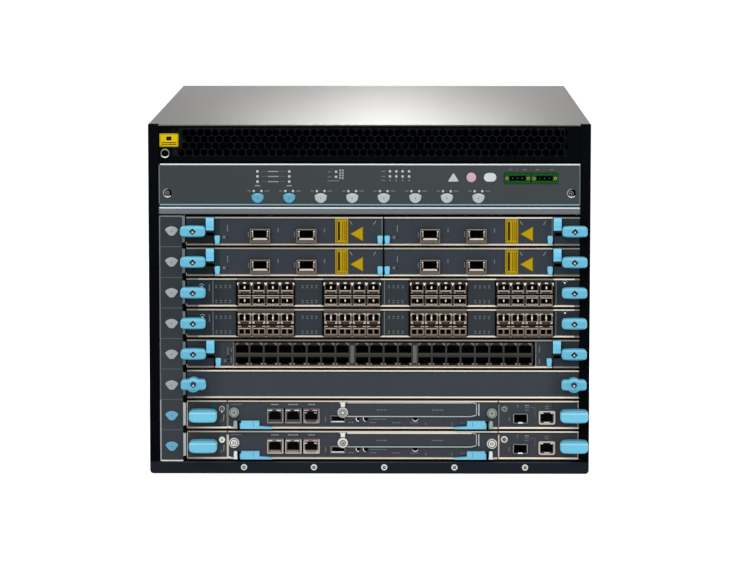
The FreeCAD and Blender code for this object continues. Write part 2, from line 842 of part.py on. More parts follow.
def spindle_holes(name, places, rise):
    return [cylinder(f"{name}_hole_{index}", s.knob_spindle_radius + s.seat_gap, s.knob_spindle_length,
                     (x, rim_front - PAST, rise), Vector(0, 1, 0)) for index, x in enumerate(places)]


def knob_places():
    return card_left + s.knob_left_inset, card_right - s.knob_right_inset


def barrel_places():
    return card_left + s.barrel_left_inset, card_right - s.barrel_right_inset


def latch_places():
    """Left edges of the two ejector latches of a card with module bays."""
    return bay_left - s.latch_inset - s.latch_width, bay_right + s.latch_inset


def latch_recesses(name):
    return [box(f"{name}_latch_recess_{index}", (x - s.seat_gap, x + s.latch_width + s.seat_gap),
                (rim_front - PAST, rim_front + s.latch_recess_depth),
                (s.latch_rise - s.latch_recess_height, s.latch_rise))
            for index, x in enumerate(latch_places())]


def make_module_card(slot, dividers):
    """A line card whose bays take port modules from the front."""
    name = f"line_card_{slot}"
    faces = [(card_left, bay_left - s.bay_gap), (bay_right + s.bay_gap, card_right)]
    board_front = front + s.module_depth + 4 * s.bay_wall
    walls = [bay_left - s.bay_gap - s.bay_wall, bay_right + s.bay_gap] + dividers
    items = card_body(name, faces, board_front) + bay_walls(name, walls, s.module_depth)
    tools = spindle_holes(name, knob_places(), s.knob_rise) + latch_recesses(name)
    body = cut(f"{name}_cut", fuse(f"{name}_fused", items), fuse(f"{name}_tools", tools))
    subpart(body, name, (0, 0, slot_base(slot)))


def optic_places():
    """Left edges of the optics columns, group by group, spread evenly between the two margins."""
    places = []
    first = card_left + s.optic_first
    last = card_right - s.optic_last - s.optic_pitch * s.optic_columns
    pitch = (last - first) / (s.optic_groups - 1)
    for group in range(count(s.optic_groups)):
        start = first + pitch * group
        places.append([start + s.optic_pitch * column for column in range(count(s.optic_columns))])
    return places


def make_optics_card(slot):
    """A line card with fixed optics ports in stacked pairs."""
    name = f"line_card_{slot}"
    items = card_body(name, [(card_left, card_right)], face_back)
    blocks = []
    pockets = []
    middle = (card_low + card_high) / 2
    for group in optic_places():
        edge = (s.optic_pitch - s.optic_width) / 2
        blocks.append(block_shape((group[0] - edge, group[-1] + s.optic_width + edge),
                                  (face_front - s.optic_proud, face_back + s.rim_depth),
                                  (middle - s.optic_block_height / 2, middle + s.optic_block_height / 2)))
        for x in group:
            for rise, height in ((s.optic_lower_rise, s.optic_lower_height),
                                 (s.optic_upper_rise, s.optic_upper_height)):
                pockets.append(block_shape((x, x + s.optic_width),
                                           (face_front - s.optic_proud - PAST,
                                            face_front - s.optic_proud + s.optic_pocket),
                                           (rise, rise + height)))
    items.append(shaped(f"{name}_cages", Part.makeCompound(blocks)))
    tools = spindle_holes(name, knob_places(), s.knob_rise)
    tools.append(shaped(f"{name}_ports", Part.makeCompound(pockets)))
    body = cut(f"{name}_cut", fuse(f"{name}_fused", items), fuse(f"{name}_tools", tools))
    subpart(body, name, (0, 0, slot_base(slot)))


def make_blank_panel(slot):
    """The cover of an unused slot: a channel with a short stiffening tray."""
    items = [box("blank_low_rim", (card_left, card_right), (rim_front, rim_front + 2 * s.rim_depth),
                 (card_low, card_low + s.rim_height)),
             box("blank_high_rim", (card_left, card_right), (rim_front, rim_front + 2 * s.rim_depth),
                 (card_high - s.rim_height, card_high)),
             box("blank_face", (card_left, card_right), (face_front, face_back), (card_low, card_high))]
    tools = spindle_holes("blank", knob_places(), s.knob_rise)
    body = cut("blank_cut", fuse("blank_fused", items), fuse("blank_tools", tools))
    subpart(body, "blank_panel", (0, 0, slot_base(slot)))


def port_block(name, left, low, width, height, outer_width, outer_height):
    """A shielded socket that stands a little proud of its face plate, and the hollow in it."""
    side = (outer_width - width) / 2
    up = (outer_height - height) / 2
    body = box(f"{name}_body", (left, left + outer_width), (face_front - s.rj_proud, face_back + s.rj_depth),
               (low, low + outer_height))
    hollow = box(f"{name}_hollow", (left + side, left + side + width), (face_front - s.rj_proud - PAST,
                                                                     face_front + s.rj_depth),
                 (low + up, low + up + height))
    return body, hollow


def make_fabric_card(slot, number):
    """The switch fabric card, with a wide bay for its control module and two ports of its own."""
    name = f"fabric_card_{number}"
    faces = [(card_left, control_left - s.control_gap), (control_right + s.control_gap, card_right)]
    board_front = front + s.control_depth + 4 * s.bay_wall
    items = [box(f"{name}_low_rim", (card_left, card_right), (rim_front, rim_front + s.rim_depth),
                 (card_low, card_low + s.rim_height)),
             box(f"{name}_high_rim", (card_left, card_right), (rim_front, rim_front + s.rim_depth),
                 (card_high - s.rim_height, card_high)),
             box(f"{name}_tray", (card_left, board_right), (rim_front, board_end), (card_low, tray_top)),
             box(f"{name}_left_board", (board_left, control_left - s.control_gap), (face_back, board_end),
                 (tray_top, board_top)),
             box(f"{name}_right_board", (control_right + s.control_gap, board_right), (face_back, board_end),
                 (tray_top, board_top)),
             box(f"{name}_board", (board_left, board_right), (board_front, board_end), (tray_top, board_top))]
    for index, (left, right) in enumerate(faces):
        items.append(box(f"{name}_face_{index}", (left, right), (face_front, face_back),
                         (card_low, card_high)))
    connectors = [block_shape((x, x + s.connector_width), (board_end - s.connector_depth, board_end),
                              (board_top, board_top + s.connector_height)) for x in connector_places()]
    items.append(shaped(f"{name}_connectors", Part.makeCompound(connectors)))
    cage, cage_hollow = port_block(f"{name}_optic", control_right + s.fabric_cage_place,
                                   s.usb_rise - s.cage_lip, s.fabric_cage_width, s.fabric_cage_height,
                                   s.fabric_cage_width + 2 * s.cage_lip,
                                   s.fabric_cage_height + 2 * s.cage_lip)
    jack, jack_hollow = port_block(f"{name}_jack", control_right + s.fabric_rj_place, s.fabric_rj_rise,
                                   s.rj_width, s.rj_height, s.rj_outer, s.rj_outer_height)
    items += [cage, jack]
    tools = spindle_holes(name, barrel_places(), s.barrel_rise) + [cage_hollow, jack_hollow]
    body = cut(f"{name}_cut", fuse(f"{name}_fused", items), fuse(f"{name}_tools", tools))
    subpart(body, name, (0, 0, slot_base(slot)))


def make_knob(label, slot, x, y_back, length, height, corner, bow, depth, boss, rise):
    """A wing knob: bowed bar with a softened front, and the spindle of its jackscrew behind."""
    wing = bevelled_bar(length, height, corner, bow, depth, s.knob_bevel)
    if boss:
        reach = depth + s.seat_gap
        ring = Part.makeCylinder(float(s.boss_radius), float(reach), vector(0, -reach, 0), Vector(0, 1, 0))
        wing = wing.fuse(ring)
    hub = Part.makeCylinder(float(s.knob_hub_radius), float(face_front - y_back - s.seat_gap),
                            Vector(0, 0, 0), Vector(0, 1, 0))
    spindle = Part.makeCylinder(float(s.knob_spindle_radius), float(s.knob_spindle_length),
                                Vector(0, 0, 0), Vector(0, 1, 0))
    wing = wing.fuse([hub, spindle])
    if boss:
        hole = Part.makeCylinder(float(s.boss_hole_radius), float(s.knob_recess) + PAST,
                                 vector(0, -depth - PAST, 0), Vector(0, 1, 0))
        wing = wing.cut(hole)
    elif bow is s.knob_bow and length is s.knob_length:
        w, t = float(s.knob_recess_width) / 2, float(s.knob_recess_height) / 2
        at = -float(depth) - PAST
        corners = [Vector(w, at, 0), Vector(0, at, t), Vector(-w, at, 0), Vector(0, at, -t)]
        wing = wing.cut(prism(Part.makePolygon(corners + corners[:1]), s.knob_recess + PAST))
    subpart(shaped(label + "_form", wing.removeSplitter()), label, (x, y_back, slot_base(slot) + rise))


def make_knobs():
    y_back = front - s.knob_from_post
    for slot, name in ((1, "line_knob_1"), (2, "line_knob_2"), (3, "line_knob_3"), (4, "line_knob_4"),
                       (5, "line_knob_5"), (6, "blank_knob")):
        for side, x in zip(("left", "right"), knob_places()):
            make_knob(f"{name}_{side}", slot, x, y_back, s.knob_length, s.knob_height, s.knob_corner,
                      s.knob_bow, s.knob_depth, slot == 6, s.knob_rise)
    for slot, number in ((7, 1), (8, 2)):
        for side, x in zip(("left", "right"), barrel_places()):
            make_knob(f"fabric_knob_{number}_{side}", slot, x, y_back, s.barrel_length, s.barrel_height,
                      s.barrel_corner, s.knob_bow, s.barrel_depth, False, s.barrel_rise)


def module_body(name, left, right):
    """Face plate, tray with low side walls, board and rear plug of a port module."""
    back = front + s.module_depth - s.bay_wall
    return [box(f"{name}_face", (left, right), (face_front, face_back), (module_low, module_high)),
            box(f"{name}_tray", (left, right), (face_front, back),
                (module_low, module_low + s.tray_thickness)),
            box(f"{name}_left", (left, left + s.bay_wall), (face_front, back), (module_low, module_high)),
            box(f"{name}_right", (right - s.bay_wall, right), (face_front, back), (module_low, module_high)),
            box(f"{name}_board", (left, right), (face_back, back),
                (module_low + s.tray_thickness, module_low + s.tray_thickness + s.board_thickness)),
            box(f"{name}_plug", (left + s.connector_width, right - s.connector_width),
                (back - s.connector_depth, back), (module_low, module_low + s.connector_height))]


def divider_place():
    """Left edge of the wall between two single-width port modules."""
    return (bay_left + bay_right) / 2 - s.bay_wall / 2


def make_optic_module(slot, number, left, right):
    """A port module with two large optics cages."""
    name = f"port_module_{number}"
    items = module_body(name, left, right)
    hollows = []
    for index, place in enumerate((s.cage_first, s.cage_second)):
        x = left + place - s.cage_outer_width / 2
        z = s.cage_rise - s.cage_outer_height / 2
        items.append(box(f"{name}_cage_{index}", (x, x + s.cage_outer_width),
                         (face_front - s.cage_proud, front + s.cage_pocket_depth + s.cage_lip),
                         (z, z + s.cage_outer_height)))
        hollows.append(box(f"{name}_hollow_{index}",
                           (x + s.cage_lip, x + s.cage_outer_width - s.cage_lip),
                           (face_front - s.cage_proud - PAST, front + s.cage_pocket_depth),
                           (z + 2 * s.cage_lip, z + s.cage_outer_height - s.cage_lip)))
    body = cut(f"{name}_cut", fuse(f"{name}_fused", items), fuse(f"{name}_hollows", hollows))
    subpart(body, name, (0, 0, slot_base(slot)))


def jack_columns(left, right):
    """Left edges of the copper jacks: an outer group, a middle group and an outer group."""
    middle = count(s.jack_port_middle)
    room = float(right - left - 2 * s.jack_port_group_gap - s.jack_port_edge)
    outer = max(1, int((room - middle * float(s.jack_port_pitch)) / 2 / float(s.jack_port_pitch)))
    total = s.jack_port_pitch * (2 * outer + middle) + 2 * s.jack_port_group_gap
    x = (left + right) / 2 - total / 2 + (s.jack_port_pitch - s.jack_port_width) / 2
    places = []
    for group, size in enumerate((outer, middle, outer)):
        for column in range(size):
            places.append(x + s.jack_port_pitch * len(places) + s.jack_port_group_gap * group)
    return places


def make_jack_module(slot, number, left, right):
    """The double-width port module with two rows of copper jacks."""
    name = f"port_module_{number}"
    items = module_body(name, left, right)
    columns = jack_columns(left, right)
    side = (s.jack_port_pitch - s.jack_port_width) / 2
    items.append(box(f"{name}_jacks", (columns[0] - side, columns[-1] + s.jack_port_width + side),
                     (face_front - s.rj_proud, face_back + s.jack_port_depth),
                     (module_low + s.seat_gap, module_high - s.seat_gap)))
    pockets = [block_shape((x, x + s.jack_port_width), (face_front - s.rj_proud - PAST,
                                                       face_front + s.jack_port_depth),
                           (rise, rise + s.jack_port_height))
               for x in columns for rise in (s.jack_lower_rise, s.jack_upper_rise)]
    tool = shaped(f"{name}_pockets", Part.makeCompound(pockets))
    subpart(cut(f"{name}_cut", fuse(f"{name}_fused", items), tool), name, (0, 0, slot_base(slot)))


def make_latches(slot):
    """The two ejector latches of a card: boxes on a hinge barrel along their lower back edge."""
    blocks = []
    z = s.latch_rise - s.latch_barrel_radius
    for index, x in enumerate(latch_places()):
        grip = box(f"latch_{slot}_{index}", (x, x + s.latch_width),
                   (rim_front - s.seat_gap - s.latch_depth, rim_front - s.seat_gap),
                   (s.latch_rise, s.latch_rise + s.latch_height))
        foot = box(f"latch_foot_{slot}_{index}", (x, x + s.latch_width),
                   (rim_front - s.seat_gap - s.latch_barrel_radius, rim_front - s.seat_gap),
                   (z, s.latch_rise))
        barrel = cylinder(f"latch_barrel_{slot}_{index}", s.latch_barrel_radius, s.latch_width,
                          (x, rim_front - s.seat_gap, z), Vector(1, 0, 0))
        blocks.append(fuse(f"latch_fused_{slot}_{index}", [grip, foot, barrel]))
    pair = doc.addObject("Part::Compound", f"latch_pair_{slot}")
    pair.Links = blocks
    subpart(pair, f"module_latches_{slot}", (0, 0, slot_base(slot)))


def make_control_module(slot, number):
    """The control module: three copper jacks, a small data port and a drive cover."""
    name = f"control_module_{number}"
    left, right = control_left, control_right
    back = front + s.control_depth
    items = [box(f"{name}_face", (left, right), (face_front, face_back), (module_low, module_high)),
             box(f"{name}_tray", (left, right), (face_front, back),
                 (module_low, module_low + s.tray_thickness)),
             box(f"{name}_left", (left, left + s.bay_wall), (face_front, back), (module_low, module_high)),
             box(f"{name}_right", (right - s.bay_wall, right), (face_front, back), (module_low, module_high)),
             box(f"{name}_board", (left, right), (face_back, back),
                 (module_low + s.tray_thickness, module_low + s.tray_thickness + s.board_thickness)),
             box(f"{name}_plug", (left + s.connector_width, right - s.connector_width),
                 (back - s.connector_depth, back), (module_low, module_low + s.connector_height))]
    hollows = []
    for index in range(3):
        x = left + s.rj_first + s.rj_pitch * index - s.rj_outer / 2
        body, hollow = port_block(f"{name}_jack_{index}", x, s.rj_rise, s.rj_width, s.rj_height,
                                  s.rj_outer, s.rj_outer_height)
        items.append(body)
        hollows.append(hollow)
    body, hollow = port_block(f"{name}_data", left + s.usb_place - s.usb_width / 2, s.usb_rise - s.cage_lip,
                              s.usb_width, s.usb_height, s.usb_width + 2 * s.cage_lip,
                              s.usb_height + 2 * s.cage_lip)
    items.append(body)
    hollows.append(hollow)
    x0, x1 = left + s.drive_place, right - s.drive_from_right
    z0, z1 = s.drive_rise, s.drive_rise + s.drive_height
    y = face_front - s.drive_proud
    corners = [vector(x0, y, z0), vector(x1 - s.drive_chamfer, y, z0),
               vector(x1, y, z0 + s.drive_chamfer_rise), vector(x1, y, z1 - s.drive_chamfer_rise),
               vector(x1 - s.drive_chamfer, y, z1), vector(x0, y, z1)]
    items.append(shaped(f"{name}_drive", prism(Part.makePolygon(corners + corners[:1]), s.drive_proud
                                               + s.face_thickness)))
    body = cut(f"{name}_cut", fuse(f"{name}_fused", items), fuse(f"{name}_hollows", hollows))
    subpart(body, name, (0, 0, slot_base(slot)))


def make_control_levers(slot, number):
    """Ejector levers that hinge on upright barrels at the ends of the control module."""
    for side, sign, pivot in (("left", 1, control_left + s.lever_left_inset),
                              ("right", -1, control_right - s.lever_right_inset)):
        y_back = rim_front - s.lever_from_rim
        radius = s.lever_barrel_radius
        barrel = Part.makeCylinder(float(radius), float(s.lever_barrel_height),
                                   vector(0, -radius, 0), Vector(0, 0, 1))
        thick = float(s.lever_thickness)
        start = float(s.lever_block_start)
        end = start + float(s.lever_block_length)
        tip = end + float(s.lever_tip_length)
        high = float(s.lever_block_height)
        thin = float(s.lever_tip_height)
        neck = block_shape((0, start + PAST), (-2 * radius, -s.lever_neck_gap), (0, s.lever_neck_height))
        points = [Vector(start, 0, 0), Vector(tip, 0, 0), Vector(tip, 0, float(s.lever_tip_end)),
                  Vector(end, 0, thin), Vector(end, 0, high), Vector(start, 0, high)]
        grip = Part.Face(Part.makePolygon(points + points[:1])).extrude(Vector(0, -thick, 0))
        lever = barrel.fuse([neck, grip]).removeSplitter()
        if sign < 0:
            lever = lever.mirror(Vector(0, 0, 0), Vector(1, 0, 0))
        subpart(shaped(f"lever_form_{number}_{side}", lever), f"control_lever_{number}_{side}",
                (pivot, y_back, slot_base(slot) + s.lever_rise))


def make_fan_tray():
    """Carrier plate with two shrouded axial fans that blow along X, and a pull at the rear."""
    left = -wall_inner + s.tray_side_gap
    right = -wall_inner + s.plenum_width - s.tray_side_gap
    start = front + s.tray_start
    low, high = s.sheet_thickness + s.seat_gap, plenum_top - s.seat_gap
    middle = (low + high) / 2
    centre = (start + rear) / 2
    plate = block_shape((left, left + s.fan_plate), (start, rear), (low, high))
    extras = []
    cuts = []
    for index in range(count(s.fan_count)):
        y = centre + s.fan_spacing * (index - (count(s.fan_count) - 1) / 2)
        axis = Vector(1, 0, 0)
        base = vector(left, y, middle)
        cuts.append(Part.makeCylinder(float(s.fan_radius), float(s.fan_depth), base, axis))
        extras.append(Part.makeCylinder(float(s.fan_radius + s.fan_ring), float(s.fan_depth), base, axis))
    body = plate.fuse(extras).cut(Part.makeCompound(cuts))
    wheels = []
    for index in range(count(s.fan_count)):
        y = centre + s.fan_spacing * (index - (count(s.fan_count) - 1) / 2)
        wheels.append(Part.makeCylinder(float(s.fan_hub_radius), float(s.fan_depth),
                                        vector(left, y, middle), Vector(1, 0, 0)))
        reach = float(s.fan_radius) + float(s.fan_ring) / 2
        for angle in (45, 135, 225, 315):
            strut = Part.makeBox(float(s.fan_plate), reach, float(s.fan_plate) * 2,
                                 Vector(0, 0, -float(s.fan_plate)))
            strut.rotate(Vector(0, 0, 0), Vector(1, 0, 0), angle)
            strut.translate(vector(left, y, middle))
            wheels.append(strut)
        for blade in range(count(s.fan_blades)):
            wing = Part.makeBox(float(s.fan_blade_chord), float(s.fan_radius - s.fan_tip_gap),
                                float(s.fan_blade_thickness),
                                Vector(-float(s.fan_blade_chord) / 2, 0, -float(s.fan_blade_thickness) / 2))
            wing.rotate(Vector(0, 0, 0), Vector(0, 1, 0), float(s.fan_blade_pitch))
            wing.rotate(Vector(0, 0, 0), Vector(1, 0, 0), 360 * blade / count(s.fan_blades))
            wing.translate(vector(left + s.fan_depth / 2, y, middle))
            wheels.append(wing)
    body = body.fuse(wheels)
    door = block_shape((-wall_inner + s.seat_gap, -wall_inner + s.plenum_width - s.seat_gap),
                       (rear - s.fan_plate, rear), (low, high))
    x0 = (left + right) / 2 - s.pull_bar / 2
    pull = block_shape((x0, x0 + s.pull_bar), (rear - PAST, rear + s.pull_reach),
                       (middle - s.pull_length / 2, middle + s.pull_length / 2))
    finger = block_shape((x0 - PAST, x0 + s.pull_bar + PAST), (rear, rear + s.pull_reach - s.pull_bar),
                         (middle - s.pull_length / 2 + s.pull_bar, middle + s.pull_length / 2 - s.pull_bar))
    pull = pull.cut(finger)
    subpart(shaped("fan_tray_form", body.fuse([door, pull]).removeSplitter()), "fan_tray")


def make_air_filter():
    """A thin filter frame with cross bars, pulled out at the rear."""
    left = filter_left
    start = front + s.tray_start
    low, high = s.sheet_thickness + s.seat_gap, plenum_top - s.seat_gap
    frame = box("filter_blank", (left, left + s.filter_thickness), (start, rear), (low, high))
    window = box("filter_window", (left - PAST, left + s.filter_thickness + PAST),
                 (start + s.filter_frame, rear - s.filter_frame),
                 (low + s.filter_frame, high - s.filter_frame))
    rest = cut("filter_frame_cut", frame, window)
    media = box("filter_media", (left + s.media_setback, left + s.filter_thickness - s.media_setback),
                (start + s.filter_frame / 2, rear - s.filter_frame / 2),
                (low + s.filter_frame / 2, high - s.filter_frame / 2))
    bars = []
    room = float(rear - start - 2 * s.filter_frame)
    for index in range(1, count(s.filter_bars)):
        y = float(start + s.filter_frame) + room * index / count(s.filter_bars)
        bars.append(block_shape((left, left + s.filter_thickness), (y, y + float(s.filter_bar_width)),
                                (low + s.filter_frame / 2, high - s.filter_frame / 2)))
    grip = box("filter_grip", (left, left + s.filter_thickness), (rear - PAST, rear + s.pull_bar),
               ((low + high) / 2 - s.pull_length / 4, (low + high) / 2 + s.pull_length / 4))
    bar_set = shaped("filter_bars", Part.makeCompound(bars))
    subpart(fuse("filter_fused", [rest, media, grip, bar_set]), "air_filter")


def make_power_supplies():
    """Four supplies side by side in the bay above the shelf, each with an inlet and a grip."""
    units = []
    low, high = rail_top + s.seat_gap, cover_bottom - s.seat_gap
    half = wall_inner - s.supply_side_gap
    width = (2 * half - s.supply_gap * (s.supply_count - 1)) / s.supply_count
    for index in range(count(s.supply_count)):
        left = (width + s.supply_gap) * index - half
        case = box(f"supply_case_{index}", (left, left + width), (rear - s.supply_depth, rear), (low, high))
        inlet = box(f"supply_inlet_{index}", (left + s.inlet_place, left + s.inlet_place + s.inlet_width),
                    (rear - s.inlet_depth, rear + PAST),
                    (low + s.inlet_rise, low + s.inlet_rise + s.inlet_height))
        grip_left = left + width / 2 - s.supply_grip_width / 2
        grip = box(f"supply_grip_{index}", (grip_left, grip_left + s.supply_grip_width),
                   (rear - PAST, rear + s.supply_grip_reach),
                   (high - 2 * s.inlet_rise, high - 2 * s.inlet_rise + s.supply_grip_height))
        units.append(cut(f"supply_cut_{index}", fuse(f"supply_fused_{index}", [case, grip]), inlet))
    group = doc.addObject("Part::Compound", "supply_group")
    group.Links = units
    subpart(group, "power_supplies")


def make_all():
    make_front_frame()
    make_chassis_shell()
    make_top_cover()
    make_intake_grille()
    make_label_strip()
    make_card_cage()
    make_midplane()
    make_rear_panel()
    make_display_panel()
    make_relay_terminals()
    make_power_supplies()
    make_fan_tray()
    make_air_filter()
    make_buttons()
    divider = divider_place()
    number = 0
    for slot in (1, 2):
        make_module_card(slot, [divider])
        for left, right in ((bay_left, divider - s.seat_gap), (divider + s.bay_wall + s.seat_gap, bay_right)):
            number += 1
            make_optic_module(slot, number, left, right)
    for slot in (3, 4):
        make_optics_card(slot)
    make_module_card(5, [])
    make_jack_module(5, number + 1, bay_left, bay_right)
    for slot in (1, 2, 5):
        make_latches(slot)
    make_blank_panel(6)
    for slot, card in ((7, 1), (8, 2)):
        make_fabric_card(slot, card)
        make_control_module(slot, card)
        make_control_levers(slot, card)
    make_knobs()


def check_and_export():
    """Stops on any failed feature or bad solid, then writes one STEP file per sub-part."""
    doc.recompute()
    for item in doc.Objects:
        if "Invalid" in item.State or "Error" in item.State:
            raise RuntimeError(f"{item.Name} failed: {item.State}")
    for item in subparts:
        if item.Shape.isNull() or not item.Shape.isValid() or not item.Shape.Solids:
            raise RuntimeError(f"{item.Label} has no valid solid")
    os.makedirs("parts", exist_ok=True)
    for item in subparts:
        item.Shape.exportStep(f"parts/{item.Label}.step")
        print(item.Label, len(item.Shape.Solids), round(item.Shape.Volume / 1000, 1))


make_all()
check_and_export()
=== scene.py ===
"""Looks of the modular chassis switch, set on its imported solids."""

import math

import bmesh
import bpy
from mathutils import Matrix, Vector


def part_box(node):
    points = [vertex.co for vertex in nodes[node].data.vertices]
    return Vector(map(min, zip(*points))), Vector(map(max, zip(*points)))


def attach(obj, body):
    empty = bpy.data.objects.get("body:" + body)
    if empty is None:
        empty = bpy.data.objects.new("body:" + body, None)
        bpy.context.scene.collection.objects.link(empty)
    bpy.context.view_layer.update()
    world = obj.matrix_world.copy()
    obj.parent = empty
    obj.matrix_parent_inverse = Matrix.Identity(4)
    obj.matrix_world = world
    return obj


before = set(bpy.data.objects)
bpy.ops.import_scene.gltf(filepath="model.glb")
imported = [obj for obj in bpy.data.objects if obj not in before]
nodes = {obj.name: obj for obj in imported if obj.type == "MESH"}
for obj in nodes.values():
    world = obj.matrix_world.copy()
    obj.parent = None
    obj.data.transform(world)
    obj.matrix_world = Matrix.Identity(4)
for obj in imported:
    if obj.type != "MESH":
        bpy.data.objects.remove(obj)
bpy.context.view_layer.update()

MM = 0.001


def tone(red, green, blue):
    """A display colour of 0 to 255 as the linear colour that a shader takes."""
    linear = []
    for value in (red, green, blue):
        share = value / 255
        linear.append(share / 12.92 if share <= 0.04045 else ((share + 0.055) / 1.055) ** 2.4)
    return (*linear, 1.0)


def shade(value):
    """A display colour becomes linear; a socket or a linear colour passes through."""
    return tone(*value) if isinstance(value, tuple) and len(value) == 3 else value


def warm(level):
    return min(255, level * 1.05), level, level * 0.93


def corners(node):
    """The lowest and the highest corner of a CAD node, in millimetres."""
    low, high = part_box(node)
    return low / MM, high / MM


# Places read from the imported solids
SLOT_NODES = [f"line_card_{number}" for number in range(1, 6)] + ["blank_panel", "fabric_card_1",
                                                                  "fabric_card_2"]
SLOT_BASE = {slot: corners(node)[0].z - 1.0 for slot, node in enumerate(SLOT_NODES, start=1)}
FRONT = corners("front_frame")[0].y
RIM = FRONT + 0.5
FACE = FRONT + 1.5
PANEL = corners("display_panel")[0].y
REAR = corners("chassis_shell")[1].y


class Finish:
    """A procedural material: a base, and layers laid over it where a mask is one."""

    def __init__(self, name, colour, roughness=0.5, metallic=0.0, gloss=0.3):
        self.material = bpy.data.materials.new(name)
        self.material.use_nodes = True
        self.tree = self.material.node_tree
        self.shader = next(n for n in self.tree.nodes if n.type == "BSDF_PRINCIPLED")
        self.shader.inputs["Specular IOR Level"].default_value = gloss
        self.colour = shade(colour)
        self.roughness = roughness
        self.metallic = metallic
        self.normal = None
        self.place = self.tree.nodes.new("ShaderNodeTexCoord").outputs["Object"]
        self.axes = dict(zip("xyz", self.node("ShaderNodeSeparateXYZ", {0: self.place}).outputs))

    def feed(self, socket, value):
        if isinstance(value, bpy.types.NodeSocket):
            self.tree.links.new(value, socket)
        else:
            socket.default_value = value

    def node(self, kind, inputs, **settings):
        node = self.tree.nodes.new(kind)
        for key, value in settings.items():
            setattr(node, key, value)
        for key, value in inputs.items():
            self.feed(node.inputs[key], value)
        return node

    def math(self, operation, first, second=0.0, clamp=False):
        return self.node("ShaderNodeMath", {0: first, 1: second}, operation=operation,
                         use_clamp=clamp).outputs[0]

    def ramp(self, source, low, high):
        """Zero at one place along an axis and one at another, in millimetres."""
        socket = self.axes[source] if isinstance(source, str) else source
        return self.math("DIVIDE", self.math("SUBTRACT", socket, low * MM), (high - low) * MM, clamp=True)

    def above(self, axis, edge, soft=0.05):
        """One past an edge along an axis, over a soft width."""
        return self.ramp(axis, edge - soft / 2, edge + soft / 2)

    def zone(self, soft=0.05, **spans):
        """One inside spans along x, y and z; None leaves an end open, a third number is its soft width."""
        masks = []
        for axis, (low, high, *own) in spans.items():
            width = own[0] if own else soft
            if low is not None:
                masks.append(self.above(axis, low, width))
            if high is not None:
                masks.append(self.math("SUBTRACT", 1.0, self.above(axis, high, width)))
        return self.both(*masks)

    def both(self, *masks, operation="MULTIPLY"):
        result = masks[0]
        for mask in masks[1:]:
            result = self.math(operation, result, mask)
        return result

    def either(self, *masks):
        return self.both(*masks, operation="MAXIMUM")

    def noise(self, size, detail=3.0, stretch=(1, 1, 1)):
        """Noise whose grains are about so many millimetres wide."""
        mapping = self.node("ShaderNodeMapping", {"Vector": self.place, "Scale": stretch})
        return self.node("ShaderNodeTexNoise", {"Vector": mapping.outputs[0], "Scale": 1 / (size * MM),
                                                "Detail": detail, "Roughness": 0.55}).outputs["Fac"]

    def blend(self, mask, first, second):
        return self.node("ShaderNodeMix", {0: mask, 6: shade(first), 7: shade(second)},
                         data_type="RGBA").outputs[2]

    def layer(self, mask, colour=None, roughness=None, metallic=None):
        if colour is not None:
            self.colour = self.blend(mask, self.colour, colour)
        if roughness is not None:
            self.roughness = self.node("ShaderNodeMix",
                                       {0: mask, 2: self.roughness, 3: roughness}).outputs[0]
        if metallic is not None:
            self.metallic = self.node("ShaderNodeMix", {0: mask, 2: self.metallic, 3: metallic}).outputs[0]
        return self

    def drift(self, size, amount, stretch=(1, 1, 1), detail=3.0):
        """Lighter and darker patches, and with them a little more or less gloss."""
        patch = self.noise(size, detail, stretch)
        factor = self.math("ADD", self.math("MULTIPLY", patch, 2 * amount), 1 - amount)
        grey = self.node("ShaderNodeCombineXYZ", {0: factor, 1: factor, 2: factor}).outputs[0]
        self.colour = self.node("ShaderNodeMix", {0: 1.0, 6: self.colour, 7: grey}, data_type="RGBA",
                                blend_type="MULTIPLY").outputs[2]
        shift = self.math("MULTIPLY", self.math("SUBTRACT", patch, 0.5), 0.5 * amount)
        self.roughness = self.math("ADD", self.roughness, shift, clamp=True)
        return self

    def grain(self, size, depth, stretch=(1, 1, 1), strength=0.5):
        """Fine relief, in millimetres wide and deep."""
        inputs = {"Strength": strength, "Distance": depth * MM, "Height": self.noise(size, 2.0, stretch)}
        if self.normal is not None:
            inputs["Normal"] = self.normal
        self.normal = self.node("ShaderNodeBump", inputs).outputs[0]
        return self

    def done(self):
        for name, value in (("Base Color", self.colour), ("Roughness", self.roughness),
                            ("Metallic", self.metallic)):
            self.feed(self.shader.inputs[name], value)
        if self.normal is not None:
            self.tree.links.new(self.normal, self.shader.inputs["Normal"])
        return self.material


def dress(finish, *names):
    """Gives CAD nodes their material."""
    material = finish.done() if isinstance(finish, Finish) else finish
    for name in names:
        slots = nodes[name].data.materials
        slots.clear()
        slots.append(material)


# Outlines in the plane of the front, as (x, z) points in millimetres


def rect(left, right, low, high):
    return [(left, low), (right, low), (right, high), (left, high)]


def arc(x, z, radius, start, turn, steps):
    """Points on an arc, both ends included."""
    angles = [math.radians(start + turn * step / steps) for step in range(steps + 1)]
    return [(x + radius * math.cos(angle), z + radius * math.sin(angle)) for angle in angles]


def rounded(left, right, low, high, radius, steps=4):
    return (arc(right - radius, low + radius, radius, -90, 90, steps)
            + arc(right - radius, high - radius, radius, 0, 90, steps)
            + arc(left + radius, high - radius, radius, 90, 90, steps)
            + arc(left + radius, low + radius, radius, 180, 90, steps))


def circle(x, z, radius, steps=24, turn=0.0):
    return arc(x, z, radius, turn, 360, steps)[:-1]


def spun(points, degrees, x=0.0, z=0.0):
    """Points turned about the middle of a head at a place."""
    cos, sin = math.cos(math.radians(degrees)), math.sin(math.radians(degrees))
    return [(x + a * cos - b * sin, z + a * sin + b * cos) for a, b in points]


SHIELD = [(0, -1), (0.24, -0.97), (0.42, -0.84), (0.66, -0.46), (0.9, -0.02), (1.0, 0.24), (0.96, 0.42),
          (0.8, 0.62), (0.55, 0.82), (0.28, 0.94), (0, 1)]


